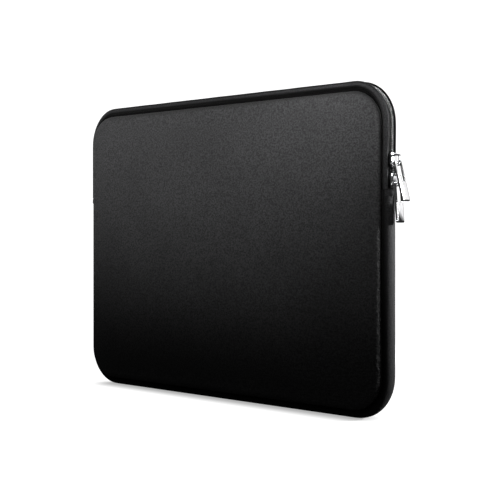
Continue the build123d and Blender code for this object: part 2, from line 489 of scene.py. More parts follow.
class Nodes:
    """A small helper that adds and links the nodes of one tree."""

    def __init__(self, tree: bpy.types.NodeTree) -> None:
        """Start on a tree with no nodes."""
        self.tree = tree
        tree.nodes.clear()

    def add(self, kind: str, inputs: dict | None = None, **settings: object) -> bpy.types.Node:
        """Add a node.

        Args:
            kind: the node's type without the ShaderNode prefix, or its full type.
            inputs: values or sockets for its inputs, by name or number.
            **settings: the node's own properties.

        Returns:
            bpy.types.Node: the node.
        """
        full = kind if kind.startswith(("Node", "Shader")) else f"ShaderNode{kind}"
        node = self.tree.nodes.new(full)
        for key, value in settings.items():
            setattr(node, key, value)
        for key, value in (inputs or {}).items():
            if isinstance(value, bpy.types.NodeSocket):
                self.tree.links.new(value, node.inputs[key])
            else:
                node.inputs[key].default_value = value
        return node

    def math(self, operation: str, *values: object) -> bpy.types.NodeSocket:
        """Combine numbers or sockets with a Math node, and return its output."""
        inputs = dict(enumerate(values))
        return self.add("Math", inputs, operation=operation).outputs[0]

    def remap(
        self, value: object, low: float, high: float, new_low: float, new_high: float
    ) -> bpy.types.NodeSocket:
        """Map a range of a value smoothly to another range.

        Args:
            value: the number or socket to map.
            low: the range's start.
            high: the range's end.
            new_low: the new range's start.
            new_high: the new range's end.

        Returns:
            bpy.types.NodeSocket: the mapped value.
        """
        inputs = {"Value": value, "From Min": low, "From Max": high, "To Min": new_low, "To Max": new_high}
        node = self.add("MapRange", inputs, interpolation_type="SMOOTHSTEP")
        return node.outputs["Result"]

    def blend(self, factor: object, first: object, second: object) -> bpy.types.NodeSocket:
        """Mix two colours.

        Args:
            factor: the second colour's share, a number or a socket.
            first: the first colour, three numbers or a socket.
            second: the second colour, likewise.

        Returns:
            bpy.types.NodeSocket: the mixed colour.
        """
        node = self.add("Mix", data_type="RGBA")
        for key, value in ((0, factor), (6, first), (7, second)):
            if isinstance(value, bpy.types.NodeSocket):
                self.tree.links.new(value, node.inputs[key])
            else:
                node.inputs[key].default_value = value if key == 0 else (*value, 1.0)
        return node.outputs[2]


def shader_group(
    name: str, inputs: dict[str, float], outputs: Sequence[str]
) -> tuple[Nodes, bpy.types.Node, bpy.types.Node]:
    """Start a shader node group that works on a vector.

    Args:
        name: the group's name.
        inputs: its number inputs and their usual values.
        outputs: its number outputs.

    Returns:
        tuple: the node helper, the group's input node and its output node.
    """
    group = bpy.data.node_groups.new(name, "ShaderNodeTree")
    interface = group.interface
    interface.new_socket("Vector", in_out="INPUT", socket_type="NodeSocketVector")
    for label, value in inputs.items():
        socket = interface.new_socket(label, in_out="INPUT", socket_type="NodeSocketFloat")
        socket.default_value = value
    for label in outputs:
        interface.new_socket(label, in_out="OUTPUT", socket_type="NodeSocketFloat")
    nodes = Nodes(group)
    return nodes, nodes.add("NodeGroupInput"), nodes.add("NodeGroupOutput")


def make_knit_group() -> bpy.types.NodeTree:
    """A fine jersey knit: columns of small chevrons, broken up by a heathered fleck.

    Returns:
        bpy.types.NodeTree: the group, with Height and Fleck outputs between 0 and 1.
    """
    inputs = {"Loop": 0.8 * MM, "Fleck Size": 1.6 * MM}
    nodes, start, end = shader_group("jersey knit", inputs, ("Height", "Fleck"))
    vector = start.outputs["Vector"]
    axes = nodes.add("SeparateXYZ", {0: vector})
    turn = nodes.math("DIVIDE", 2 * math.pi, start.outputs["Loop"])
    across = nodes.math("MULTIPLY", axes.outputs["X"], turn)
    column = nodes.math("ABSOLUTE", nodes.math("SINE", nodes.math("MULTIPLY", across, 0.5)))
    slant = nodes.math("MULTIPLY", column, 2.6)
    rise = nodes.math("MULTIPLY", axes.outputs["Y"], turn)
    row = nodes.math("SINE", nodes.math("ADD", rise, slant))
    row = nodes.math("MULTIPLY_ADD", row, 0.5, 0.5)
    loop = nodes.math("MULTIPLY", row, nodes.math("MULTIPLY_ADD", column, 0.6, 0.4))
    fleck_scale = nodes.math("DIVIDE", 1.0, start.outputs["Fleck Size"])
    grain = {"Vector": vector, "Scale": fleck_scale, "Detail": 3.0, "Roughness": 0.65}
    noise = nodes.add("TexNoise", grain)
    fleck = nodes.remap(noise.outputs[0], 0.32, 0.68, 0.0, 1.0)
    height = nodes.math("MULTIPLY_ADD", fleck, 0.35, nodes.math("MULTIPLY", loop, 0.65))
    nodes.tree.links.new(height, end.inputs["Height"])
    nodes.tree.links.new(fleck, end.inputs["Fleck"])
    return nodes.tree


def make_weave_group() -> bpy.types.NodeTree:
    """A tight twill of narrow ribs, for tapes, bindings and tabs.

    Returns:
        bpy.types.NodeTree: the group, with a Height output between 0 and 1.
    """
    nodes, start, end = shader_group("narrow weave", {"Rib": 0.9 * MM}, ("Height",))
    axes = nodes.add("SeparateXYZ", {0: start.outputs["Vector"]})
    turn = nodes.math("DIVIDE", 2 * math.pi, start.outputs["Rib"])
    along = nodes.math("MULTIPLY", axes.outputs["X"], turn)
    across = nodes.math("MULTIPLY", axes.outputs["Y"], turn)
    rib = nodes.math("ABSOLUTE", nodes.math("SINE", nodes.math("MULTIPLY", along, 0.5)))
    over = nodes.math("SINE", nodes.math("ADD", across, nodes.math("MULTIPLY", along, 0.5)))
    over = nodes.math("MULTIPLY_ADD", over, 0.25, 0.5)
    height = nodes.math("MULTIPLY", rib, nodes.math("ADD", over, 0.25))
    nodes.tree.links.new(height, end.inputs["Height"])
    return nodes.tree


def make_lint_group() -> bpy.types.NodeTree:
    """Sparse specks of lint and dust, as a mask.

    Returns:
        bpy.types.NodeTree: the group, with a Mask output between 0 and 1.
    """
    inputs = {"Spacing": 9 * MM, "Speck": 0.045}
    nodes, start, end = shader_group("lint", inputs, ("Mask",))
    scale = nodes.math("DIVIDE", 1.0, start.outputs["Spacing"])
    cells = nodes.add("TexVoronoi", {"Vector": start.outputs["Vector"], "Scale": scale})
    near = nodes.math("LESS_THAN", cells.outputs["Distance"], start.outputs["Speck"])
    nodes.tree.links.new(near, end.inputs["Mask"])
    return nodes.tree


def make_rub_group() -> bpy.types.NodeTree:
    """Faint rubbed patches and hairlines, as a mask for roughness.

    Returns:
        bpy.types.NodeTree: the group, with a Mask output between 0 and 1.
    """
    inputs = {"Patch": 6 * MM, "Hairline": 0.5 * MM}
    nodes, start, end = shader_group("rubbed", inputs, ("Mask",))
    vector = start.outputs["Vector"]
    patch_scale = nodes.math("DIVIDE", 1.0, start.outputs["Patch"])
    patches = nodes.add("TexNoise", {"Vector": vector, "Scale": patch_scale, "Detail": 4.0})
    stretched = nodes.add("Mapping", {"Vector": vector, "Scale": (1.0, 0.12, 1.0)})
    line_scale = nodes.math("DIVIDE", 1.0, start.outputs["Hairline"])
    lines = nodes.add("TexNoise", {"Vector": stretched.outputs[0], "Scale": line_scale, "Detail": 2.0})
    strong = nodes.remap(lines.outputs[0], 0.55, 0.75, 0.0, 1.0)
    soft = nodes.remap(patches.outputs[0], 0.35, 0.7, 0.0, 1.0)
    mask = nodes.math("MULTIPLY_ADD", strong, 0.4, nodes.math("MULTIPLY", soft, 0.6))
    nodes.tree.links.new(mask, end.inputs["Mask"])
    return nodes.tree


KNIT = make_knit_group()
WEAVE = make_weave_group()
LINT = make_lint_group()
RUB = make_rub_group()


def start_material(name: str) -> tuple[bpy.types.Material, Nodes]:
    """Make a material with an empty tree, and the helper that fills it.

    Args:
        name: the material's name.

    Returns:
        tuple: the material and the helper.
    """
    material = bpy.data.materials.new(name)
    material.use_nodes = True
    return material, Nodes(material.node_tree)


def end_material(nodes: Nodes, shader: bpy.types.Node) -> None:
    """Send a shader to the material's output."""
    nodes.add("OutputMaterial", {"Surface": shader.outputs[0]})


# ---------------------------------------------------------------------------------------------------------
# Finishes
# ---------------------------------------------------------------------------------------------------------


@dataclass(frozen=True)
class KnitNeoprene:
    """Neoprene with a matte knit face, heathered by lighter fibres."""

    name: str
    follows_cloth: bool
    creased: bool = False
    ground: Shade = Shade.NEOPRENE
    fleck: Shade = Shade.NEOPRENE_FLECK
    roughness: float = 0.78
    specular: float = 0.3
    sheen: float = 0.12
    bump: float = 0.13 * MM
    loop: float = 0.62 * MM
    fleck_size: float = 1.3 * MM
    lint_spacing: float = 11 * MM
    lint_speck: float = 0.022
    crease_rise: float = 6.0

    def build(self) -> bpy.types.Material:
        """Make the material.

        Returns:
            bpy.types.Material: the finish, on the piece's UV map or on object X and Z of a panel.
        """
        material, nodes = start_material(self.name)
        coordinates = nodes.add("TexCoord")
        if self.follows_cloth:
            vector = coordinates.outputs["UV"]
        else:
            axes = nodes.add("SeparateXYZ", {0: coordinates.outputs["Object"]})
            flat = {"X": axes.outputs["X"], "Y": axes.outputs["Z"], "Z": axes.outputs["Y"]}
            vector = nodes.add("CombineXYZ", flat).outputs[0]
        knit = nodes.add("Group", node_tree=KNIT)
        knit.inputs["Loop"].default_value = self.loop
        knit.inputs["Fleck Size"].default_value = self.fleck_size
        nodes.tree.links.new(vector, knit.inputs["Vector"])
        lint = nodes.add("Group", node_tree=LINT)
        lint.inputs["Spacing"].default_value = self.lint_spacing
        lint.inputs["Speck"].default_value = self.lint_speck
        nodes.tree.links.new(coordinates.outputs["Object"], lint.inputs["Vector"])
        # The knit is slightly darker in soft random clouds.
        cloud = nodes.add("TexNoise", {"Vector": vector, "Scale": 18.0, "Detail": 2.0})
        base = nodes.blend(knit.outputs["Fleck"], self.ground.value, self.fleck.value)
        shaded = nodes.remap(cloud.outputs[0], 0.3, 0.7, 0.0, 0.16)
        base = nodes.blend(shaded, base, Shade.SMUDGE.value)
        base = nodes.blend(nodes.math("MULTIPLY", lint.outputs["Mask"], 0.35), base, Shade.LINT.value)
        # Painted shade: the stored mask darkens the knit towards near-black in seams, under rolls and on edges
        # that face away from the lamps, and makes it a little rougher there.
        seam = nodes.add("Attribute", attribute_name="painted_shade", attribute_type="GEOMETRY")
        base = nodes.blend(seam.outputs["Fac"], base, Shade.SEAM.value)
        height = knit.outputs["Height"]
        if self.creased:
            height = nodes.math("ADD", height, self.creases(nodes, vector))
        bump = nodes.add("Bump", {"Height": height, "Distance": self.bump, "Strength": 0.8})
        rough = nodes.remap(knit.outputs["Fleck"], 0.0, 1.0, self.roughness - 0.05, self.roughness + 0.08)
        rough = nodes.math("ADD", rough, nodes.math("MULTIPLY", seam.outputs["Fac"], 0.2))
        shader = nodes.add(
            "BsdfPrincipled",
            {
                "Base Color": base,
                "Roughness": rough,
                "Specular IOR Level": self.specular,
                "Sheen Weight": self.sheen,
                "Sheen Roughness": 0.45,
                "Normal": bump.outputs[0],
            },
        )
        end_material(nodes, shader)
        return material

    def creases(self, nodes: Nodes, vector: bpy.types.NodeSocket) -> bpy.types.NodeSocket:
        """Short level creases in the knit, where the right-hand third of a panel has been bent.

        Args:
            nodes: the material's node helper.
            vector: the flat panel's coordinates.

        Returns:
            bpy.types.NodeSocket: the creases' height.
        """
        axes = nodes.add("SeparateXYZ", {0: vector})
        side = nodes.remap(axes.outputs["X"], 0.25 * SIZES.half_width, 0.8 * SIZES.half_width, 0.0, 1.0)
        top = nodes.remap(axes.outputs["Y"], 0.80 * SIZES.height, 0.62 * SIZES.height, 0.0, 1.0)
        stretched = nodes.add("Mapping", {"Vector": vector, "Scale": (0.16, 1.0, 1.0)})
        fold = nodes.add("TexNoise", {"Vector": stretched.outputs[0], "Scale": 620.0, "Detail": 2.0})
        ridge = nodes.remap(fold.outputs[0], 0.42, 0.66, 0.0, self.crease_rise)
        return nodes.math("MULTIPLY", ridge, nodes.math("MULTIPLY", side, top))


@dataclass(frozen=True)
class WovenTape:
    """Narrow woven polyester tape."""

    name: str
    rib: float = 0.9 * MM
    bump: float = 0.2 * MM

    def build(self) -> bpy.types.Material:
        """Make the material, which follows the tape's UV map.

        Returns:
            bpy.types.Material: the finish.
        """
        material, nodes = start_material(self.name)
        coordinates = nodes.add("TexCoord")
        weave = nodes.add("Group", node_tree=WEAVE)
        weave.inputs["Rib"].default_value = self.rib
        nodes.tree.links.new(coordinates.outputs["UV"], weave.inputs["Vector"])
        height = weave.outputs["Height"]
        # Painted shade: the weave's hollows are coloured darker than its ribs.
        base = nodes.blend(height, Shade.WEBBING_HOLLOW_SHADE.value, Shade.WEBBING.value)
        bump = nodes.add("Bump", {"Height": height, "Distance": self.bump, "Strength": 0.9})
        rough = nodes.remap(height, 0.0, 1.0, 0.85, 0.62)
        inputs = {
            "Base Color": base,
            "Roughness": rough,
            "Specular IOR Level": 0.2,
            "Normal": bump.outputs[0],
        }
        end_material(nodes, nodes.add("BsdfPrincipled", inputs))
        return material


@dataclass(frozen=True)
class PlushLining:
    """Short brushed pile."""

    name: str

    def build(self) -> bpy.types.Material:
        """Make the material, from a fine pile that lies in drifting directions, with a painted sheen where it
        would catch the light.

        Returns:
            bpy.types.Material: the finish.
        """
        material, nodes = start_material(self.name)
        coordinates = nodes.add("TexCoord")
        vector = coordinates.outputs["Object"]
        pile = nodes.add("TexNoise", {"Vector": vector, "Scale": 1500.0, "Detail": 3.0})
        drift = nodes.add("TexNoise", {"Vector": vector, "Scale": 25.0, "Detail": 3.0, "Distortion": 0.8})
        nap_sheen_share = nodes.remap(drift.outputs[0], 0.3, 0.7, 0.0, 1.0)
        # Painted sheen: drifting patches of the pile are lighter, as if they caught the light.
        base = nodes.blend(nap_sheen_share, Shade.LINING.value, Shade.LINING_NAP_SHEEN.value)
        bump = nodes.add("Bump", {"Height": pile.outputs[0], "Distance": 0.0004, "Strength": 0.7})
        rough = nodes.remap(pile.outputs[0], 0.3, 0.7, 0.85, 0.98)
        inputs = {"Base Color": base, "Roughness": rough, "Sheen Weight": 0.5, "Normal": bump.outputs[0]}
        end_material(nodes, nodes.add("BsdfPrincipled", inputs))
        return material


@dataclass(frozen=True)
class CoilNylon:
    """Smooth dyed nylon filament, dulled in patches where sliders have rubbed it."""

    name: str
    colour: Shade = Shade.NYLON
    rubbed: Shade = Shade.NYLON_RUBBED
    roughness: float = 0.28
    rubbed_rougher: float = 0.2

    def build(self) -> bpy.types.Material:
        """Make the material from the shared rub mask.

        Returns:
            bpy.types.Material: the finish.
        """
        material, nodes = start_material(self.name)
        coordinates = nodes.add("TexCoord")
        rub = nodes.add("Group", node_tree=RUB)
        nodes.tree.links.new(coordinates.outputs["Object"], rub.inputs["Vector"])
        base = nodes.blend(rub.outputs["Mask"], self.colour.value, self.rubbed.value)
        rough = nodes.remap(rub.outputs["Mask"], 0.0, 1.0, self.roughness, self.roughness + self.rubbed_rougher)
        inputs = {"Base Color": base, "Roughness": rough, "Specular IOR Level": 0.55}
        end_material(nodes, nodes.add("BsdfPrincipled", inputs))
        return material


@dataclass(frozen=True)
class PlatedMetal:
    """Bright plated zinc, with a little rubbing and fine hairlines."""

    name: str
    patch: float = 4 * MM
    hairline: float = 0.3 * MM
    polished: float = 0.05
    dulled: float = 0.13

    def build(self) -> bpy.types.Material:
        """Make the material from the shared rub mask.

        Returns:
            bpy.types.Material: the finish.
        """
        material, nodes = start_material(self.name)
        coordinates = nodes.add("TexCoord")
        rub = nodes.add("Group", node_tree=RUB)
        rub.inputs["Patch"].default_value = self.patch
        rub.inputs["Hairline"].default_value = self.hairline
        nodes.tree.links.new(coordinates.outputs["Object"], rub.inputs["Vector"])
        base = nodes.blend(rub.outputs["Mask"], Shade.PLATING.value, Shade.PLATING_RUBBED.value)
        rough = nodes.remap(rub.outputs["Mask"], 0.0, 1.0, self.polished, self.dulled)
        bump = nodes.add("Bump", {"Height": rub.outputs["Mask"], "Distance": 0.00002, "Strength": 0.3})
        inputs = {"Base Color": base, "Metallic": 1.0, "Roughness": rough, "Normal": bump.outputs[0]}
        end_material(nodes, nodes.add("BsdfPrincipled", inputs))
        return material


@dataclass(frozen=True)
class SewingThread:
    """Twisted polyester thread."""

    name: str

    def build(self) -> bpy.types.Material:
        """Make the material, with a fine twist across each stitch.

        Returns:
            bpy.types.Material: the finish.
        """
        material, nodes = start_material(self.name)
        coordinates = nodes.add("TexCoord")
        waves = {"Vector": coordinates.outputs["Object"], "Scale": 900.0, "Distortion": 1.0}
        twist = nodes.add("TexWave", waves)
        # Painted shade: the twist's grooves are coloured darker than its ridges.
        base = nodes.blend(twist.outputs[1], Shade.THREAD_HOLLOW_SHADE.value, Shade.THREAD.value)
        bump = nodes.add("Bump", {"Height": twist.outputs[1], "Distance": 0.00008, "Strength": 0.6})
        inputs = {"Base Color": base, "Roughness": 0.55, "Sheen Weight": 0.2, "Normal": bump.outputs[0]}
        end_material(nodes, nodes.add("BsdfPrincipled", inputs))
        return material


@dataclass(frozen=True)
class Wardrobe:
    """Every finish of the sleeve, built once."""

    panel: bpy.types.Material
    strip: bpy.types.Material
    lining: bpy.types.Material
    webbing: bpy.types.Material
    coil: bpy.types.Material
    plating: bpy.types.Material
    thread: bpy.types.Material

    @classmethod
    def build(cls) -> Wardrobe:
        """Build the finishes."""
        return cls(
            panel=KnitNeoprene("knit_neoprene_panel", follows_cloth=False, creased=True).build(),
            strip=KnitNeoprene(
                "knit_neoprene_strip",
                follows_cloth=True,
                ground=Shade.BAND,
                fleck=Shade.BAND_FLECK,
                specular=0.17,
                sheen=0.05,
            ).build(),
            lining=PlushLining("plush_lining").build(),
            webbing=WovenTape("woven_tape").build(),
            coil=CoilNylon("nylon_coil").build(),
            plating=PlatedMetal("plated_metal").build(),
            thread=SewingThread("sewing_thread").build(),
        )


def dress(piece: bpy.types.Object, material: bpy.types.Material) -> None:
    """Give a piece its material.

    Args:
        piece: the piece.
        material: its finish.
    """
    piece.data.materials.clear()
    piece.data.materials.append(material)


def report(piece: bpy.types.Object) -> None:
    """Log a finished piece."""
    log.info("%s: %d points", piece.name, len(piece.data.vertices))


def fold_with_flap(piece: bpy.types.Object) -> None:
    """Apply a front piece's stack and bake its place into its mesh.

    Args:
        piece: the front piece, whose stack is applied first.
    """
    apply_stack(piece)
    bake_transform(piece)


def settle_half(piece: bpy.types.Object, side: Side, stem: str, front_ends: Sequence[str] = ()) -> None:
    """Hide the nodes that a front or rear piece replaces, and bake a front piece in place or attach a rear one
    to the sleeve's body.

    Args:
        piece: the finished piece.
        side: its half of the sleeve. A front piece is baked in place.
        stem: the replaced node's name after the side.
        front_ends: what follows the stem in the names of the front's other nodes.
    """
    node = f"{side.name.lower()}_{stem}"
    if side is Side.FRONT:
        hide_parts(node, *(node + end for end in front_ends))
        fold_with_flap(piece)
    else:
        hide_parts(node)
        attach(piece, "sleeve")
    report(piece)


# ---------------------------------------------------------------------------------------------------------
# Cloth pieces
# ---------------------------------------------------------------------------------------------------------


@dataclass
class PaddedPanel:
    """A front or rear panel: a knit skin over foam, tucked into the seam all round."""

    side: Side
    finishes: Wardrobe
    tuck: float = 0.7 * MM
    shoulder: float = 5.2 * MM
    thickness: float = 2.6 * MM
    ring_pitch: float = 3.6 * MM
    grid_pitch: float = 5.5 * MM
    swell: float = 1.1 * MM
    top_gap: float = 1.1 * MM
    frames: int = 20
    # How much painted shade each ring gets, on a side edge and on the top edge: full in the seam, fading over
    # the rounded shoulder, more slowly on the top edge.
    painted_shade: tuple[tuple[float, float], ...] = (
        (1.0, 1.0),
        (1.0, 1.0),
        (0.9, 1.0),
        (0.3, 0.9),
        (0.05, 0.45),
        (0.0, 0.1),
        (0.0, 0.0),
    )

    def build(self) -> bpy.types.Object:
        """Make the panel.

        Returns:
            bpy.types.Object: the finished piece.
        """
        piece = self.skin()
        self.plump(piece)
        wall = piece.modifiers.new("foam", "SOLIDIFY")
        wall.thickness = self.thickness
        wall.offset = -1.0
        add_subdivision(piece, 1)
        dress(piece, self.finishes.panel)
        settle_half(piece, self.side, "panel", ("_flap",))
        return piece

    def rings(self) -> list[SectionPoint]:
        """The edge's profile from the seam to the flat, as (inset, depth) points.

        Returns:
            list[SectionPoint]: one point for each ring, from the seam inward.
        """
        rise = SIZES.half_depth - SIZES.seam_depth
        tucked = SIZES.seam_inset + self.tuck
        points = [(tucked + 0.8 * MM, SIZES.seam_depth - 2.9 * MM), (tucked, SIZES.seam_depth - 0.8 * MM)]
        for degrees in (6, 28, 48, 66, 80):
            angle = math.radians(degrees)
            inset = SIZES.seam_inset + self.shoulder * (1 - math.cos(angle))
            points.append((inset, SIZES.seam_depth + rise * math.sin(angle)))
        points.append((SIZES.seam_inset + self.shoulder + 0.6 * MM, SIZES.half_depth))
        return points

    def skin(self) -> bpy.types.Object:
        """Make the outer skin: rings round the edge, and an even net inside them.

        Returns:
            bpy.types.Object: the open skin, before it is swelled and given its foam.
        """
        stations = CrownPath.whole_edge().stations(self.ring_pitch)[:-1]
        count = len(stations)
        sign = self.side.value
        points, faces = [], []
        rings = self.rings()
        for inset, depth in rings:
            shy = [self.top_gap * max(-station.inward_z, 0.0) ** 2 for station in stations]
            points += [station.at(inset + gap, sign * depth) for station, gap in zip(stations, shy)]
        for r in range(len(rings) - 1):
            for i in range(count):
                n = (i + 1) % count
                faces.append((r * count + i, r * count + n, (r + 1) * count + n, (r + 1) * count + i))
        inner = points[-count:]
        net_points, net_faces = self.net(inner)
        offset = len(points) - count
        points = points[:-count] + [Vector((p[0], sign * SIZES.half_depth, p[1])) for p in net_points]
        faces += [tuple(offset + i for i in face) for face in net_faces]
        mesh = mesh_from(f"{self.side.name.lower()}_panel_skin", points, faces)
        # Painted shade for each ring point, blended from the side value to the top value; none on the flat.
        tucked = []
        for beside, above in self.painted_shade:
            for station in stations:
                tucked.append(beside + (above - beside) * max(-station.inward_z, 0.0) ** 2)
        mark_painted_shade(mesh, tucked + [0.0] * len(net_points))
        work = bmesh.new()
        work.from_mesh(mesh)
        bmesh.ops.recalc_face_normals(work, faces=work.faces)
        middle = max(work.faces, key=lambda face: face.calc_center_median().y * sign)
        if middle.normal.y * sign < 0:
            bmesh.ops.reverse_faces(work, faces=work.faces)
        work.to_mesh(mesh)
        work.free()
        return new_piece(mesh.name, mesh)

    def net(self, rim: Sequence[Vector]) -> tuple[list, list]:
        """Fill the flat inside a rim with an even triangular net.

        Args:
            rim: the rim's points in order.

        Returns:
            tuple: the net's points as (x, z), rim first and in order, and its faces.
        """
        outline = [Vector((p.x, p.z)) for p in rim]
        half_x = max(p.x for p in outline)
        low = min(p.y for p in outline)
        high = max(p.y for p in outline)
        corner = SIZES.corner - (SIZES.half_width - half_x)
        margin = 0.6 * self.grid_pitch
        inside = []
        rows = int((high - low) / (self.grid_pitch * 0.866))
        columns = int(2 * half_x / self.grid_pitch)
        for j in range(1, rows):
            z = low + (high - low) * j / rows
            for i in range(columns + 1):
                x = -half_x + 2 * half_x * (i + 0.5 * (j % 2)) / columns
                over_x = max(abs(x) - (half_x - corner), 0.0)
                over_z = max(abs(z - (low + high) / 2) - ((high - low) / 2 - corner), 0.0)
                if math.hypot(over_x, over_z) < corner - margin:
                    inside.append(Vector((x, z)))
        edges = [(i, (i + 1) % len(outline)) for i in range(len(outline))]
        result = delaunay_2d_cdt(outline + inside, edges, [], 1, 1e-7)
        return [tuple(p) for p in result[0]], [tuple(face) for face in result[2]]

    def plump(self, piece: bpy.types.Object) -> None:
        """Blow the skin up a little from inside with a cloth simulation, held at the seam.

        Args:
            piece: the skin, whose mesh takes the result.
        """
        mesh = piece.data
        before = positions(mesh)
        flat = SIZES.half_depth - 0.4 * MM
        held = [i for i, point in enumerate(before) if abs(point[1]) < flat]
        group = piece.vertex_groups.new(name="seam")
        group.add(held, 1.0, "REPLACE")
        cloth = piece.modifiers.new("plump", "CLOTH")
        settings = cloth.settings
        settings.quality = 6
        settings.mass = 0.3
        settings.tension_stiffness = 25.0
        settings.compression_stiffness = 25.0
        settings.shear_stiffness = 12.0
        settings.bending_stiffness = 4.0
        settings.use_pressure = True
        settings.uniform_pressure_force = 3.0
        settings.vertex_group_mass = "seam"
        settings.effector_weights.gravity = 0.0
        scene = bpy.context.scene
        for number in range(1, self.frames + 1):
            scene.frame_set(number)
        evaluated = piece.evaluated_get(bpy.context.evaluated_depsgraph_get())
        after = positions(evaluated.to_mesh())
        evaluated.to_mesh_clear()
        piece.modifiers.remove(cloth)
        piece.vertex_groups.remove(group)
        scene.frame_set(1)
        moved = after - before
        outward = moved[:, 1] * self.side.value
        log.info("%s swelled by up to %.2f mm", piece.name, outward.max() / MM)
        capped = self.swell * np.tanh(np.clip(outward, 0, None) / self.swell)
        result = before.copy()
        result[:, 1] += capped * self.side.value
        set_positions(mesh, result)


@dataclass
class InnerLining:
    """A brushed lining against the inside of one panel."""

    side: Side
    finishes: Wardrobe
    inset: float = 9.8 * MM
    pitch: float = 6 * MM

    def build(self) -> bpy.types.Object:
        """Make the lining as a thin sheet with a slightly uneven lie.

        Returns:
            bpy.types.Object: the lining.
        """
        panel = PaddedPanel(self.side, self.finishes)
        stations = CrownPath.whole_edge().stations(self.pitch)[:-1]
        sign = self.side.value
        rim = [station.at(self.inset, sign * SIZES.lining_depth) for station in stations]
        points, faces = panel.net(rim)
        spots = []
        for x, z in points:
            lift = 0.12 * MM * (1 + undulation(x, z, 38 * MM))
            spots.append(Vector((x, sign * (SIZES.lining_depth + 0.05 * MM + lift), z)))
        name = f"{self.side.name.lower()}_lining_sheet"
        mesh = mesh_from(name, spots, faces)
        work = bmesh.new()
        work.from_mesh(mesh)
        bmesh.ops.recalc_face_normals(work, faces=work.faces)
        work.faces.ensure_lookup_table()
        if work.faces[0].normal.y * sign > 0:
            bmesh.ops.reverse_faces(work, faces=work.faces)
        work.to_mesh(mesh)
        work.free()
        piece = new_piece(name, mesh)
        wall = piece.modifiers.new("cloth", "SOLIDIFY")
        wall.thickness = 0.3 * MM
        wall.offset = -1.0
        dress(piece, self.finishes.lining)
        apply_stack(piece)
        settle_half(piece, self.side, "lining", ("_flap",))
        return piece


@dataclass
class EdgeGusset:
    """The plain padded band down the lower sides and along the bottom."""

    finishes: Wardrobe
    pitch: float = 4 * MM
    thickness: float = 2.6 * MM
    press: float = 0.5 * MM
    groove: float = 1.3 * MM

    def section(self, station: Station) -> list[SectionPoint]:
        """The band's closed section at a place: a rounded crown, pressed flat where it rests.

        Args:
            station: the place on the crown.

        Returns:
            list[SectionPoint]: the section's points in order.
        """
        depth = SIZES.seam_depth - 0.15 * MM
        rise = SIZES.seam_inset
        resting = max(0.0, station.inward_z) ** 3
        uneven = 0.10 * MM * undulation(station.along, 0.0, 21 * MM)
        outer = []
        for degrees in (-84, -76, -64, -48, -32, -14, 0, 14, 32, 48, 64, 76, 84):
            angle = math.radians(degrees)
            inset = rise * (1 - math.cos(angle)) + uneven * math.cos(angle) ** 2
            flat = max(inset, self.press * resting) - self.press * resting
            groove = self.groove * max(0.0, (abs(degrees) - 64) / 20) ** 1.5
            out = depth * math.sin(angle) - math.copysign(groove, degrees)
            outer.append((max(flat, 0.0) + 0.02 * MM, out))
        seam = (rise + 0.9 * MM, depth - self.groove - 0.5 * MM)
        outer = [(seam[0], -seam[1]), *outer, seam]
        return outer + self.inner_line()

    def inner_line(self, clearance: float = 0.0) -> list[SectionPoint]:
        """The band's inner face, from the rear seam to the front one.

        Args:
            clearance: how far inside the face the line runs.

        Returns:
            list[SectionPoint]: the line's points.
        """
        reach = SIZES.seam_depth - self.groove - 1.35 * MM
        line = []
        for degrees in (80, 60, 40, 20, 0, -20, -40, -60, -80):
            angle = math.radians(degrees)
            inset = SIZES.seam_inset + self.thickness - (SIZES.seam_inset - 0.2 * MM) * math.cos(angle)
            line.append((inset + clearance, reach * math.sin(angle)))
        return line

    def painted_shade(self, _: Station) -> list[float]:
        """How much painted shade the section's points get: most at both edges, next to the seams, and on the
        inside.
        """
        half = [1.0, 0.95, 0.75, 0.5, 0.25, 0.08, 0.0]
        return [*half, 0.0, *reversed(half), *[1.0] * 9]

    def build(self) -> bpy.types.Object:
        """Make the band.

        Returns:
            bpy.types.Object: the band.
        """
        stations = CrownPath.gusset_line().stations(self.pitch, firm_ends=True)
        piece = sweep("gusset_band", stations, self.section, painted_shade=self.painted_shade)
        add_subdivision(piece, 1)
        dress(piece, self.finishes.strip)
        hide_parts("gusset")
        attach(piece, "sleeve")
        report(piece)
        return piece


@dataclass
class GussetLining:
    """The strip of brushed lining laid into the inside of the band."""

    band: EdgeGusset
    finishes: Wardrobe
    pitch: float = 6 * MM
    clearance: float = 0.25 * MM
    thickness: float = 0.3 * MM

    def section(self, station: Station) -> list[SectionPoint]:
        """The strip's thin section, with a slightly uneven lie.

        Args:
            station: the place on the crown.

        Returns:
            list[SectionPoint]: the section's points in order.
        """
        lift = 0.12 * MM * (1 + undulation(station.along, 0.0, 38 * MM))
        outer = self.band.inner_line(self.clearance + lift)
        return outer + self.band.inner_line(self.clearance + lift + self.thickness)[::-1]

    def build(self) -> bpy.types.Object:
        """Make the strip.

        Returns:
            bpy.types.Object: the strip.
        """
        path = CrownPath.gusset_line()
        piece = sweep("gusset_lining_strip", path.stations(self.pitch), self.section)
        dress(piece, self.finishes.lining)
        line = self.band.inner_line(self.clearance)
        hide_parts("gusset_lining")
        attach(piece, "sleeve")
        report(piece)
        return piece


def slider_spread(station: Station) -> float:
    """How far the sliders push the lips apart at a place, from 0 to 1.

    Args:
        station: the place on the crown.

    Returns:
        float: the share of the full spread.
    """
    if station.x < 0:
        return 0.0
    low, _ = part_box("lower_slider_body")
    _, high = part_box("upper_slider_body")
    above = (station.z - high[2]) / SPREAD_ABOVE
    below = (low[2] - station.z) / SPREAD_BELOW
    gap = min(max(above, below, 0.0), 1.0)
    return 1 - gap * gap * (3 - 2 * gap)


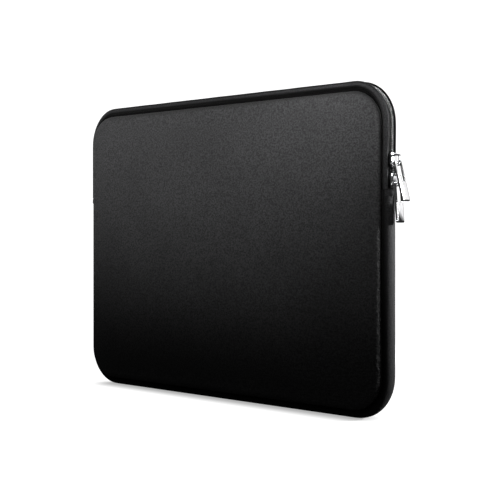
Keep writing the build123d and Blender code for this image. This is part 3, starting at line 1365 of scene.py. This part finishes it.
@dataclass
class ZipLip:
    """The rolled neoprene lip between a panel's seam and the zip."""

    side: Side
    finishes: Wardrobe
    pitch: float = 3.5 * MM
    top_rise: float = 1.3 * MM

    def section(self, station: Station) -> list[SectionPoint]:
        """The lip's closed section: out from the seam, over its crown, and back underneath.

        Args:
            station: the place on the crown.

        Returns:
            list[SectionPoint]: the section's points in order.
        """
        spread = slider_spread(station)
        shift = 0.55 * MM * spread
        drop = 0.55 * MM * spread
        uneven = 0.09 * MM * undulation(station.along, 7 * MM * self.side.value, 15 * MM)
        outside = ((7.8, 3.7), (7.0, 3.9), (6.4, 4.5), (5.8, 5.35), (5.0, 5.95))
        outside += ((4.1, 6.2), (3.2, 6.1), (2.4, 5.7), (1.8, 5.2))
        rise = self.top_rise * max(-station.inward_z, 0.0) ** 2
        points = [(inset * MM + 0.6 * uneven - rise, depth * MM + 0.5 * shift) for inset, depth in outside]
        crown = ((1.3, 4.75), (1.05, 4.3), (1.15, 3.95), (1.65, 3.82), (2.3, 3.95), (2.45, 4.35))
        points += [(inset * MM + drop - rise + uneven, depth * MM + shift) for inset, depth in crown]
        under = ((3.4, 4.6), (5.0, 4.3), (6.2, 3.6), (7.4, 3.1), (9.0, 3.3), (9.2, 4.2), (8.5, 4.1))
        points += [(inset * MM, depth * MM) for inset, depth in under]
        return [(inset, self.side.value * depth) for inset, depth in points]

    def painted_shade(self, station: Station) -> list[float]:
        """How much painted shade the section's points get: full in the seam, inside the crown and under the
        roll, and on the top edge also over the upward-facing roll and crown.

        Args:
            station: the place on the crown.

        Returns:
            list[float]: one value for each of the section's points.
        """
        top = max(-station.inward_z, 0.0) ** 2
        outside = [1.0, 1.0, 1.0, 0.9 + 0.1 * top, 0.5 + 0.3 * top, 0.3 * top, 0.0, 0.45 * top, top]
        crown = [0.1 + 0.9 * top, 0.5 + 0.5 * top, 0.85, 1.0, 1.0, 1.0]
        return [*outside, *crown, *[1.0] * 7]

    def build(self) -> bpy.types.Object:
        """Make the lip.

        Returns:
            bpy.types.Object: the lip.
        """
        name = self.side.name.lower()
        stations = CrownPath.zip_line().stations(self.pitch, firm_ends=True)
        piece = sweep(f"{name}_zip_lip", stations, self.section, painted_shade=self.painted_shade)
        add_subdivision(piece, 1)
        dress(piece, self.finishes.strip)
        settle_half(piece, self.side, "zip_strip", ("_left", "_right"))
        return piece


def chain_opening(station: Station) -> float:
    """How far each tape stands off the middle between the two sliders' heads.

    Args:
        station: the place on the crown.

    Returns:
        float: the distance that each tape is set back.
    """
    if station.x < 0:
        return 0.0
    _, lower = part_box("lower_slider_body")
    upper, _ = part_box("upper_slider_body")
    middle = (lower[2] + upper[2]) / 2
    reach = (upper[2] - lower[2]) / 2 + CHAIN_PAST_HEAD
    away = min(abs(station.z - middle) / reach, 1.0)
    return CHAIN_OPEN * (1 - away * away) ** 2


@dataclass
class ZipTape:
    """The woven tape that carries one coil."""

    side: Side
    finishes: Wardrobe
    pitch: float = 4 * MM
    width: float = 11.1 * MM
    half: float = 0.16 * MM

    def section(self, station: Station) -> list[SectionPoint]:
        """The tape's section: out from the coil and down under the lip, set back where the chain opens.

        Args:
            station: the place on the crown.

        Returns:
            list[SectionPoint]: the section's points in order.
        """
        near = 0.12 * MM + chain_opening(station)
        line = ((2.65, 2.0), (2.7, 3.5), (3.0, 4.0), (4.2, 4.0), (6.2, 3.2), (7.6, 2.7), (9.8, 2.8))
        upper = [(inset * MM - self.half, depth * MM + self.half) for inset, depth in line]
        under = [(inset * MM + self.half, depth * MM - self.half) for inset, depth in reversed(line)]
        points = [(2.65 * MM - self.half, near), *upper, *under, (2.65 * MM + self.half, near)]
        return [(inset, self.side.value * depth) for inset, depth in points]

    def build(self) -> bpy.types.Object:
        """Make the tape.

        Returns:
            bpy.types.Object: the tape.
        """
        name = self.side.name.lower()
        path = CrownPath.zip_line()
        piece = sweep(f"{name}_zip_tape_woven", path.stations(self.pitch), self.section)
        dress(piece, self.finishes.webbing)
        settle_half(piece, self.side, "zip_tape", ("_left", "_right"))
        return piece


@dataclass
class ZipCoil:
    """One side of the chain: a nylon filament wound along its tape, whose heads mesh with the other's."""

    side: Side
    finishes: Wardrobe
    pitch: float = 1.7 * MM
    filament: float = 0.34 * MM
    head: float = -0.42 * MM
    tail: float = 1.95 * MM
    top: float = 1.32 * MM
    bottom: float = 2.12 * MM
    points_per_turn: int = 12
    sides: int = 6

    def centre(self, path: CrownPath, turns: float) -> Vector:
        """The filament's centre after a number of turns, with the advance made at the tail.

        Args:
            path: the zip's route.
            turns: how many turns of the filament come before.

        Returns:
            Vector: the point on the filament's centre line.
        """
        whole = math.floor(turns)
        angle = 2 * math.pi * (turns - whole)
        lean = min(max((angle - math.pi * 0.72) / (math.pi * 0.56), 0.0), 1.0)
        advance = lean * lean * (3 - 2 * lean)
        shift = 0.0 if self.side is Side.FRONT else 0.5
        station = path.station(min(max((whole + advance + shift) * self.pitch, 0.0), path.length))
        cosine, sine = math.cos(angle), math.sin(angle)
        reach = math.copysign(abs(cosine) ** 0.7, cosine)
        height = math.copysign(abs(sine) ** 0.75, sine)
        depth = (self.head + self.tail) / 2 + (self.head - self.tail) / 2 * reach
        inset = (self.top + self.bottom) / 2 + (self.top - self.bottom) / 2 * height
        return station.at(inset, self.side.value * (depth + chain_opening(station)))

    def build(self) -> bpy.types.Object:
        """Make the coil as one long tube.

        Returns:
            bpy.types.Object: the coil.
        """
        path = CrownPath.zip_line()
        turns = int(path.length / self.pitch) - 1
        total = turns * self.points_per_turn
        line = np.array([self.centre(path, i / self.points_per_turn) for i in range(total + 1)])
        tangent = np.gradient(line, axis=0)
        tangent /= np.linalg.norm(tangent, axis=1)[:, None]
        nearest = [path.station(i / total * path.length) for i in range(total + 1)]
        outward = np.array([(-s.inward_x, 0.0, -s.inward_z) for s in nearest])
        along = np.array([(s.inward_z, 0.0, -s.inward_x) for s in nearest])
        reference = np.cross(outward, along)
        first = along - tangent * (along * tangent).sum(1)[:, None]
        weak = np.linalg.norm(first, axis=1) < 0.2
        first[weak] = (reference - tangent * (reference * tangent).sum(1)[:, None])[weak]
        first /= np.linalg.norm(first, axis=1)[:, None]
        second = np.cross(tangent, first)
        points = []
        for k in range(self.sides):
            angle = 2 * math.pi * k / self.sides
            points.append(line + self.filament * (first * math.cos(angle) + second * math.sin(angle)))
        stacked = np.stack(points, axis=1).reshape(-1, 3)
        faces = []
        for j in range(total):
            for k in range(self.sides):
                n = (k + 1) % self.sides
                a, b = j * self.sides, (j + 1) * self.sides
                faces.append((a + k, a + n, b + n, b + k))
        faces.append(tuple(range(self.sides)))
        faces.append(tuple(range(total * self.sides, (total + 1) * self.sides)))
        name = self.side.name.lower()
        mesh = mesh_from(f"{name}_zip_coil_wound", stacked, faces)
        face_outward(mesh)
        piece = new_piece(mesh.name, mesh)
        dress(piece, self.finishes.coil)
        settle_half(piece, self.side, "zip_coil", ("_left", "_right"))
        return piece


@dataclass
class StitchRow:
    """A row of small stitches, each a short rounded bar that dips into the cloth at its ends."""

    name: str
    finishes: Wardrobe
    length: float = 2.3 * MM
    radius: float = 0.16 * MM

    def build(self, knots: Sequence[tuple[Vector, Vector, Vector]], body: str) -> bpy.types.Object:
        """Make the row.

        Args:
            knots: each stitch's middle, its direction and the cloth's outward direction there.
            body: the body that it rides on.

        Returns:
            bpy.types.Object: the row.
        """
        points, faces = [], []
        shape = ((-0.5, -1.2, 0.5), (-0.32, 0.1, 1.0), (0.0, 0.45, 1.0), (0.32, 0.1, 1.0), (0.5, -1.2, 0.5))
        sides = 5
        for middle, direction, outward in knots:
            across = direction.cross(outward)
            base = len(points)
            for along, lift, width in shape:
                centre = middle + direction * (along * self.length) + outward * (lift * self.radius)
                for k in range(sides):
                    angle = 2 * math.pi * k / sides
                    arm = across * math.cos(angle) + outward * math.sin(angle)
                    points.append(centre + arm * (self.radius * width))
            for j in range(len(shape) - 1):
                for k in range(sides):
                    n = (k + 1) % sides
                    a = base + j * sides
                    faces.append((a + k, a + n, a + sides + n, a + sides + k))
            last = base + (len(shape) - 1) * sides
            faces.append(tuple(range(base, base + sides)))
            faces.append(tuple(range(last, last + sides)))
        mesh = mesh_from(self.name, points, faces)
        face_outward(mesh)
        piece = new_piece(self.name, mesh)
        dress(piece, self.finishes.thread)
        if body == "flap":
            fold_with_flap(piece)
        else:
            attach(piece, body)
        report(piece)
        return piece


@dataclass
class SeamBinding:
    """The bound seam inside one panel, with its row of stitches."""

    side: Side
    finishes: Wardrobe
    near: float = 9.9 * MM
    far: float = 12.4 * MM
    rise: float = 1.25 * MM
    stitch_gap: float = 3.4 * MM

    def section(self, station: Station) -> list[SectionPoint]:
        """A soft folded strip that lies on the lining.

        Args:
            station: the place on the crown.

        Returns:
            list[SectionPoint]: the section's points in order.
        """
        wide = self.far - self.near
        floor = SIZES.lining_depth - 0.05 * MM
        uneven = 0.08 * MM * undulation(station.along, 3 * MM, 11 * MM)
        shape = ((0.0, 0.0), (-0.02, 0.45), (0.12, 0.85), (0.35, 1.0))
        shape += ((0.65, 0.98), (0.88, 0.8), (1.0, 0.4), (0.99, 0.0))
        points = [(self.near + wide * u, floor - self.rise * v - uneven * v) for u, v in shape]
        return [(inset, self.side.value * depth) for inset, depth in points]

    def build(self) -> bpy.types.Object:
        """Make the binding and its stitches.

        Returns:
            bpy.types.Object: the binding.
        """
        name = self.side.name.lower()
        path = CrownPath.whole_edge()
        piece = sweep(f"{name}_bound_seam", path.stations(5 * MM)[:-1], self.section, closed_path=True)
        add_subdivision(piece, 1)
        dress(piece, self.finishes.webbing)
        settle_half(piece, self.side, "seam_binding", ("_flap",))
        knots = []
        count = int(path.length / self.stitch_gap)
        middle = self.near + 0.55 * (self.far - self.near)
        depth = SIZES.lining_depth - 0.05 * MM - self.rise
        for i in range(count):
            station = path.station((i + 0.5) * path.length / count)
            spot = station.at(middle, self.side.value * depth)
            direction = Vector((-station.inward_z, 0.0, station.inward_x))
            knots.append((spot, direction, Vector((0.0, -self.side.value, 0.0))))
        body = "flap" if self.side is Side.FRONT else "sleeve"
        StitchRow(f"{name}_bound_seam_stitches", self.finishes).build(knots, body)
        return piece


@dataclass
class EndTab:
    """The folded tab over the crown that closes one end of the zip."""

    label: str
    finishes: Wardrobe
    rise: float = 0.9 * MM
    drop: float = 1.2 * MM
    # From the lower edge to the upper one, as shares of the height and the rise; the dip is the seam.
    profile: tuple[tuple[float, float], ...] = (
        (0.0, 0.15),
        (0.08, 0.8),
        (0.3, 1.0),
        (0.62, 0.86),
        (0.72, 0.62),
        (0.86, 0.85),
        (1.0, 0.2),
    )

    def build(self) -> bpy.types.Object:
        """Make the tab and its short row of stitches.

        Returns:
            bpy.types.Object: the tab.
        """
        low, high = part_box(f"zip_end_tab_{self.label}")
        low.z -= self.drop
        sign = 1 if self.label == "right" else -1
        depth = SIZES.seam_depth
        angles = [math.radians(a) for a in range(-72, 73, 12)]
        points, faces = [], []
        for along, lift in self.profile:
            z = low[2] + (high[2] - low[2]) * along
            for angle in angles:
                reach = SIZES.half_width - SIZES.seam_inset * (1 - math.cos(angle)) + self.rise * lift
                points.append(Vector((sign * reach, (depth + 0.1 * MM * lift) * math.sin(angle), z)))
        across = len(angles)
        for j in range(len(self.profile) - 1):
            for i in range(across - 1):
                corner = j * across + i
                faces.append((corner, corner + 1, corner + across + 1, corner + across))
        mesh = mesh_from(f"{self.label}_zip_end_fold", points, faces)
        layer = mesh.uv_layers.new(name="cloth")
        spots = [mesh.vertices[loop.vertex_index].co for loop in mesh.loops]
        layer.data.foreach_set("uv", [value for spot in spots for value in (spot.z, spot.y)])
        work = bmesh.new()
        work.from_mesh(mesh)
        bmesh.ops.recalc_face_normals(work, faces=work.faces)
        work.faces.ensure_lookup_table()
        if work.faces[len(work.faces) // 2].normal.x * sign < 0:
            bmesh.ops.reverse_faces(work, faces=work.faces)
        work.to_mesh(mesh)
        work.free()
        piece = new_piece(mesh.name, mesh)
        wall = piece.modifiers.new("cloth", "SOLIDIFY")
        wall.thickness = 0.5 * MM
        wall.offset = -1.0
        add_subdivision(piece, 1)
        dress(piece, self.finishes.strip)
        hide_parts(f"zip_end_tab_{self.label}")
        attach(piece, "sleeve")
        report(piece)
        knots = []
        z = low[2] + 0.66 * (high[2] - low[2])
        for y in (-4.6, -2.3, 0.0, 2.3, 4.6):
            angle = math.asin(y * MM / depth)
            reach = SIZES.half_width - SIZES.seam_inset * (1 - math.cos(angle)) + self.rise * 0.62
            outward = Vector((sign * math.cos(angle), math.sin(angle), 0.0))
            direction = Vector((-sign * math.sin(angle), math.cos(angle), 0.0))
            knots.append((Vector((sign * reach, y * MM, z)), direction, outward))
        StitchRow(f"{self.label}_zip_end_stitches", self.finishes, length=1.7 * MM).build(knots, "sleeve")
        return piece


# ---------------------------------------------------------------------------------------------------------
# Metal pieces
# ---------------------------------------------------------------------------------------------------------


def prism(outline: Sequence[tuple[float, float]], inner: float, outer: float) -> tuple[list, list]:
    """Raise an outline in Y and Z between two X levels.

    Args:
        outline: the (y, z) points in order.
        inner: the lower X level.
        outer: the higher X level.

    Returns:
        tuple: the points and the faces.
    """
    count = len(outline)
    points = [Vector((x, y, z)) for x in (inner, outer) for y, z in outline]
    faces = [tuple(range(count)), tuple(range(count, 2 * count))]
    faces += [(i, (i + 1) % count, count + (i + 1) % count, count + i) for i in range(count)]
    return points, faces


def join_solids(name: str, solids: Sequence[tuple[list, list]]) -> bpy.types.Object:
    """Make one piece of several closed solids.

    Args:
        name: the piece's name.
        solids: the points and the faces of each solid.

    Returns:
        bpy.types.Object: the piece.
    """
    points, faces = [], []
    for solid_points, solid_faces in solids:
        base = len(points)
        points += solid_points
        faces += [tuple(base + i for i in face) for face in solid_faces]
    mesh = mesh_from(name, points, faces)
    face_outward(mesh)
    return new_piece(name, mesh)


@dataclass
class ZipSlider:
    """A plated slider: two plates with side flanges, a post between them, and a bridge for the pull."""

    place: str
    head: int
    finishes: Wardrobe
    # The side's outline from tail to head, as shares of the plate's half width and half length.
    rim: tuple[tuple[float, float], ...] = (
        (0.80, -1.0),
        (0.90, -0.86),
        (0.93, -0.3),
        (1.0, 0.30),
        (0.97, 0.58),
        (0.84, 0.84),
    )
    cover: float = 0.6 * MM
    flange: float = 2.0 * MM
    lower_plate: float = 3.2 * MM
    flange_inner: float = 2.65 * MM

    def outline(self, low: Vector, high: Vector, trim: float = 0.0) -> list[tuple[float, float]]:
        """A plate's outline: round-shouldered at its head and narrower at its tail.

        Args:
            low: the slider's lowest corner.
            high: its highest corner.
            trim: how far inside the slider the outline stays.

        Returns:
            list[tuple[float, float]]: the (y, z) points in order.
        """
        middle = (low[2] + high[2]) / 2
        half = (high[2] - low[2]) / 2 - trim
        wide = high[1] - trim
        shape = (*self.rim, (0.58, 0.98), (0.24, 0.93), (0.0, 0.80))
        right = [(wide * u, middle + self.head * half * v) for u, v in shape]
        return right + [(-y, z) for y, z in reversed(right[:-1])]

    def build(self) -> list[bpy.types.Object]:
        """Make the slider's body and its bridge.

        Returns:
            list[bpy.types.Object]: the body and the bridge.
        """
        low, high = (Vector(corner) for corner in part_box(f"{self.place}_slider_body"))
        crown = SIZES.half_width
        plate_under = crown - self.cover
        flange_bottom = crown - self.flange
        bottom_top = crown - self.lower_plate
        outline = self.outline(low, high)
        solids = [prism(outline, plate_under, high[0]), prism(outline, low[0], bottom_top)]
        half = (high[2] - low[2]) / 2
        middle = (low[2] + high[2]) / 2
        for sign in (-1, 1):
            outer = [(sign * high[1] * u, middle + self.head * half * v) for u, v in self.rim]
            inner = [(sign * self.flange_inner, z) for _, z in reversed(outer)]
            solids.append(prism(outer + inner, flange_bottom, plate_under + 0.05 * MM))
        post = middle + self.head * 0.55 * half
        wedge = [(0.0, post - 1.6 * MM), (0.42 * MM, post), (0.0, post + 1.6 * MM), (-0.42 * MM, post)]
        solids.append(prism(wedge, bottom_top - 0.1 * MM, plate_under + 0.1 * MM))
        body = join_solids(f"{self.place}_slider_shell", solids)
        add_bevel(body, 0.22 * MM)
        dress(body, self.finishes.plating)
        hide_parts(f"{self.place}_slider_body")
        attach(body, f"{self.place}_slider")
        report(body)
        bridge = self.bridge()
        return [body, bridge]

    def bridge(self) -> bpy.types.Object:
        """Make the arch that the pull's bar turns under, with feet that spread on to the plate.

        Returns:
            bpy.types.Object: the arch.
        """
        low, high = (Vector(corner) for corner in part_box(f"{self.place}_slider_bridge"))
        foot = low[0]
        rise = high[0] - low[0]
        half = (high[2] - low[2]) / 2
        middle = (low[2] + high[2]) / 2
        wall = 1.25 * MM
        spine = (
            (-1.0, -0.03), (-1.0, 0.30), (-0.985, 0.58), (-0.90, 0.82), (-0.70, 0.96), (-0.35, 1.0),
            (0.35, 1.0), (0.70, 0.96), (0.90, 0.82), (0.985, 0.58), (1.0, 0.30), (1.0, -0.03),
        )
        widths = (1.75, 1.5, 1.35, 1.25, 1.2, 1.2, 1.2, 1.2, 1.25, 1.35, 1.5, 1.75)
        points, faces = [], []
        for (u, v), wide in zip(spine, widths):
            outer_z, outer_x = middle + half * u, foot + rise * v
            towards = Vector((-(v if v > 0.6 else 0.0), 0.0, -u if abs(u) > 0.5 else 0.0))
            towards = towards.normalized() if towards.length else Vector((-1.0, 0.0, 0.0))
            inner = Vector((outer_x, 0.0, outer_z)) + towards * wall
            points += [Vector((outer_x, y * MM, outer_z)) for y in (-wide, wide)]
            points += [Vector((inner.x, y * MM, inner.z)) for y in (wide, -wide)]
        for j in range(len(spine) - 1):
            for k in range(4):
                n = (k + 1) % 4
                faces.append((4 * j + k, 4 * j + n, 4 * j + 4 + n, 4 * j + 4 + k))
        last = 4 * (len(spine) - 1)
        faces += [(0, 1, 2, 3), (last, last + 1, last + 2, last + 3)]
        piece = join_solids(f"{self.place}_slider_arch", [(points, faces)])
        add_bevel(piece, 0.3 * MM)
        dress(piece, self.finishes.plating)
        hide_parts(f"{self.place}_slider_bridge")
        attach(piece, f"{self.place}_slider")
        report(piece)
        return piece


@dataclass
class SliderPull:
    """A bevelled plate with a window, hanging from a round bar."""

    place: str
    finishes: Wardrobe
    length: float = 29.3 * MM
    width: float = 9.0 * MM
    thickness: float = 1.8 * MM
    window_width: float = 6.0 * MM
    window_end: float = 14.2 * MM
    corner: float = 1.0 * MM
    slope: float = 1.2 * MM
    crown_drop: float = 0.42 * MM

    def build(self) -> bpy.types.Object:
        """Make the pull at its resting tilt.

        Returns:
            bpy.types.Object: the plate and its bar as one piece.
        """
        joint = next(j for j in frame["joints"] if j["name"] == f"{self.place}_pull_swing")
        pivot = Vector(joint["pos_m"])
        _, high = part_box(f"{self.place}_pull")
        tilt = math.asin((high[0] - self.thickness / 2 - pivot.x) / self.length)
        half = self.width / 2
        open_half = self.window_width / 2
        outer = [(-half, 0.0), (-half, -self.window_end), *self.rounded(-half, -1), *self.rounded(half, 1)]
        outer += [(half, -self.window_end), (half, 0.0)]
        window = [(open_half, 0.0), (open_half, -self.window_end + 0.8 * MM)]
        window.append((open_half - 0.25 * MM, -self.window_end + 0.22 * MM))
        window.append((open_half - 0.8 * MM, -self.window_end))
        outline = outer + window + [(-y, z) for y, z in reversed(window)]
        count = len(outline)
        shrink_y, shrink_z = 1 - self.slope / half, 1 - self.slope / self.length
        back, shoulder, front = [], [], []
        face = self.thickness / 2
        for i, (y, z) in enumerate(outline):
            edge = i < len(outer)
            back.append(Vector((-face, y, z)))
            shoulder.append(Vector((face - (self.crown_drop if edge else 0.5 * self.crown_drop), y, z)))
            front.append(Vector((face, y * shrink_y, z * shrink_z) if edge else (face, y, z)))
        points = back + shoulder + front
        faces = [tuple(range(count)), tuple(range(2 * count, 3 * count))]
        for level in (0, count):
            for i in range(count):
                n = (i + 1) % count
                faces.append((level + i, level + n, level + count + n, level + count + i))
        piece = join_solids(f"{self.place}_pull_plate", [(points, faces), self.bar()])
        turn = Matrix.Translation(pivot) @ Matrix.Rotation(-tilt, 4, "Y")
        piece.data.transform(turn)
        add_bevel(piece, 0.38 * MM)
        dress(piece, self.finishes.plating)
        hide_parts(f"{self.place}_pull")
        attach(piece, f"{self.place}_pull")
        report(piece)
        return piece

    def rounded(self, y: float, order: int) -> list[tuple[float, float]]:
        """The points of one bottom corner, in the direction that the outline runs.

        Args:
            y: the corner's side, as the plate's signed half width.
            order: negative if the outline comes down this side.

        Returns:
            list[tuple[float, float]]: the (y, z) points in order.
        """
        inner = y - math.copysign(self.corner, y)
        turn = [math.radians(a) for a in (0, 22.5, 45, 67.5, 90)]
        spots = []
        for angle in turn:
            across = inner + math.copysign(self.corner * math.cos(angle), y)
            spots.append((across, -self.length + self.corner - self.corner * math.sin(angle)))
        return spots if order < 0 else spots[::-1]

    def bar(self) -> tuple[list, list]:
        """The round bar at the top, which ends in small domes.

        Returns:
            tuple: the points and the faces.
        """
        sides = 20
        rings = ((-1.0, 0.72), (-0.965, 0.93), (-0.92, 1.0), (0.92, 1.0), (0.965, 0.93), (1.0, 0.72))
        points, faces = [], []
        for along, wide in rings:
            for k in range(sides):
                angle = 2 * math.pi * k / sides
                radius = self.thickness / 2 * wide
                across = along * self.width / 2
                points.append(Vector((radius * math.cos(angle), across, radius * math.sin(angle))))
        for j in range(len(rings) - 1):
            for k in range(sides):
                n = (k + 1) % sides
                faces.append((j * sides + k, j * sides + n, (j + 1) * sides + n, (j + 1) * sides + k))
        faces.append(tuple(range(sides)))
        faces.append(tuple(range((len(rings) - 1) * sides, len(rings) * sides)))
        return points, faces


# ---------------------------------------------------------------------------------------------------------
# Stage
# ---------------------------------------------------------------------------------------------------------


@dataclass(frozen=True)
class Softbox:
    """A rectangular soft light that faces a point."""

    name: str
    place: tuple[float, float, float]
    target: tuple[float, float, float]
    size: tuple[float, float]
    watts: float
    spread: float = 180.0

    def build(self) -> bpy.types.Object:
        """Hang the light.

        Returns:
            bpy.types.Object: the light.
        """
        lamp = bpy.data.lights.new(self.name, "AREA")
        lamp.shape = "RECTANGLE"
        lamp.size, lamp.size_y = self.size
        lamp.energy = self.watts
        lamp.spread = math.radians(self.spread)
        light = bpy.data.objects.new(self.name, lamp)
        aim = Vector(self.target) - Vector(self.place)
        turn = aim.to_track_quat("-Z", "Y").to_matrix().to_4x4()
        light.matrix_world = Matrix.Translation(self.place) @ turn
        bpy.context.scene.collection.objects.link(light)
        return light


@dataclass
class Studio:
    """The camera, the pale floor, the white surroundings and the lights."""

    lens: float = 79.3
    azimuth: float = 42.86
    shift: float = -0.0389
    camera_place: tuple[float, float, float] = (0.6480, -0.6686, 0.1421)
    floor_half: float = 6.0
    white: float = 1.1
    ambient: float = 0.05

    def build(self) -> None:
        """Set the stage."""
        scene = bpy.context.scene
        scene.view_settings.view_transform = "Standard"
        data = bpy.data.cameras.new("camera")
        data.lens = self.lens
        data.sensor_width = 36.0
        data.shift_y = self.shift
        data.clip_start = 0.01
        camera = bpy.data.objects.new("camera", data)
        camera.location = self.camera_place
        camera.rotation_euler = (math.pi / 2, 0.0, math.radians(self.azimuth))
        scene.collection.objects.link(camera)
        scene.camera = camera
        self.floor()
        self.surroundings()
        for light in self.lights():
            light.build()

    def lights(self) -> list[Softbox]:
        """The soft lights: a beam in front for the panel, a small one above its top right corner, and one
        behind at the right for the edge band."""
        return [
            Softbox("front_beam", (0.25, -0.90, 0.05), (-0.14, 0.0, 0.35), (0.5, 0.06), 0.72, 35.0),
            Softbox("top_right", (0.45, -0.55, 0.75), (0.14, 0.0, 0.30), (0.1, 0.1), 0.073, 14.0),
            Softbox("right_rear", (0.80, 0.50, 0.45), (0.17, 0.0, 0.31), (0.2, 0.35), 1.9, 35.0),
        ]

    def path(self, nodes: Nodes, kind: str) -> bpy.types.NodeSocket:
        """Tell whether a ray is of one kind."""
        return nodes.add("LightPath").outputs[kind]

    def floor(self) -> None:
        """Lay the pale floor, which shows white with a painted contact shadow along the sleeve's foot, and
        sends little light back up.
        """
        half = self.floor_half
        spots = ((-half, -half), (half, -half), (half, half), (-half, half))
        corners = [Vector((x, y, 0.0)) for x, y in spots]
        floor = new_piece("floor", mesh_from("floor", corners, [(0, 1, 2, 3)]))
        material, nodes = start_material("pale_floor")
        axes = nodes.add("SeparateXYZ", {0: nodes.add("TexCoord").outputs["Object"]})
        from_middle = nodes.math("ABSOLUTE", axes.outputs["X"])
        past_end = nodes.math("SUBTRACT", from_middle, SIZES.half_width - SIZES.corner)
        past_end = nodes.math("MAXIMUM", past_end, 0.0)
        squares = [nodes.math("POWER", value, 2.0) for value in (past_end, axes.outputs["Y"])]
        away = nodes.math("SQRT", nodes.math("ADD", *squares))
        # Painted contact shadow: the floor's glow falls from full white 30 mm from the sleeve's foot to under
        # half of it within 4 mm.
        glow_with_painted_shadow = nodes.remap(away, 4 * MM, 30 * MM, 0.45, self.white)
        white = nodes.add(
            "BsdfPrincipled",
            {
                "Base Color": (0.85, 0.85, 0.85, 1.0),
                "Roughness": 0.9,
                "Emission Color": (1.0, 1.0, 1.0, 1.0),
                "Emission Strength": glow_with_painted_shadow,
            },
        )
        dim = nodes.add("BsdfDiffuse", {"Color": (0.03, 0.03, 0.03, 1.0)})
        mirrored = nodes.math("MULTIPLY", self.path(nodes, "Is Glossy Ray"), 0.02)
        seen = nodes.math("MAXIMUM", self.path(nodes, "Is Camera Ray"), mirrored)
        mix = nodes.add("MixShader", {0: seen, 1: dim.outputs[0], 2: white.outputs[0]})
        end_material(nodes, mix)
        floor.data.materials.append(material)

    def surroundings(self) -> None:
        """Surround the stage with white that lights the sleeve only dimly."""
        world = bpy.data.worlds.new("studio")
        world.use_nodes = True
        bpy.context.scene.world = world
        nodes = Nodes(world.node_tree)
        axes = nodes.add("SeparateXYZ", {0: nodes.add("TexCoord").outputs["Generated"]})
        behind = nodes.remap(axes.outputs["Y"], -0.25, 0.3, 0.02, 1.0)
        behind = nodes.math("MULTIPLY", behind, nodes.remap(axes.outputs["X"], 0.02, 0.28, 0.06, 1.0))
        above = nodes.remap(axes.outputs["Z"], -0.03, 0.07, 0.10, 0.95)
        card = nodes.math("MULTIPLY", behind, above)
        mirrored = nodes.math("MULTIPLY", self.path(nodes, "Is Glossy Ray"), card)
        seen = nodes.math("MAXIMUM", self.path(nodes, "Is Camera Ray"), mirrored)
        strength = nodes.math("MULTIPLY_ADD", seen, self.white, self.ambient)
        background = nodes.add("Background", {"Color": (1.0, 1.0, 1.0, 1.0), "Strength": strength})
        nodes.add("OutputWorld", {"Surface": background.outputs[0]})


def main() -> None:
    """Build the sleeve on its stage, piece by piece."""
    Studio().build()
    finishes = Wardrobe.build()
    for side in Side:
        PaddedPanel(side, finishes).build()
        InnerLining(side, finishes).build()
        ZipLip(side, finishes).build()
        ZipTape(side, finishes).build()
        ZipCoil(side, finishes).build()
        SeamBinding(side, finishes).build()
    band = EdgeGusset(finishes)
    band.build()
    GussetLining(band, finishes).build()
    for label in ("left", "right"):
        EndTab(label, finishes).build()
    for place, head in (("upper", -1), ("lower", 1)):
        ZipSlider(place, head, finishes).build()
        SliderPull(place, finishes).build()


if __name__ == "__main__":
    logging.basicConfig(level=logging.INFO, format="%(message)s")
    main()
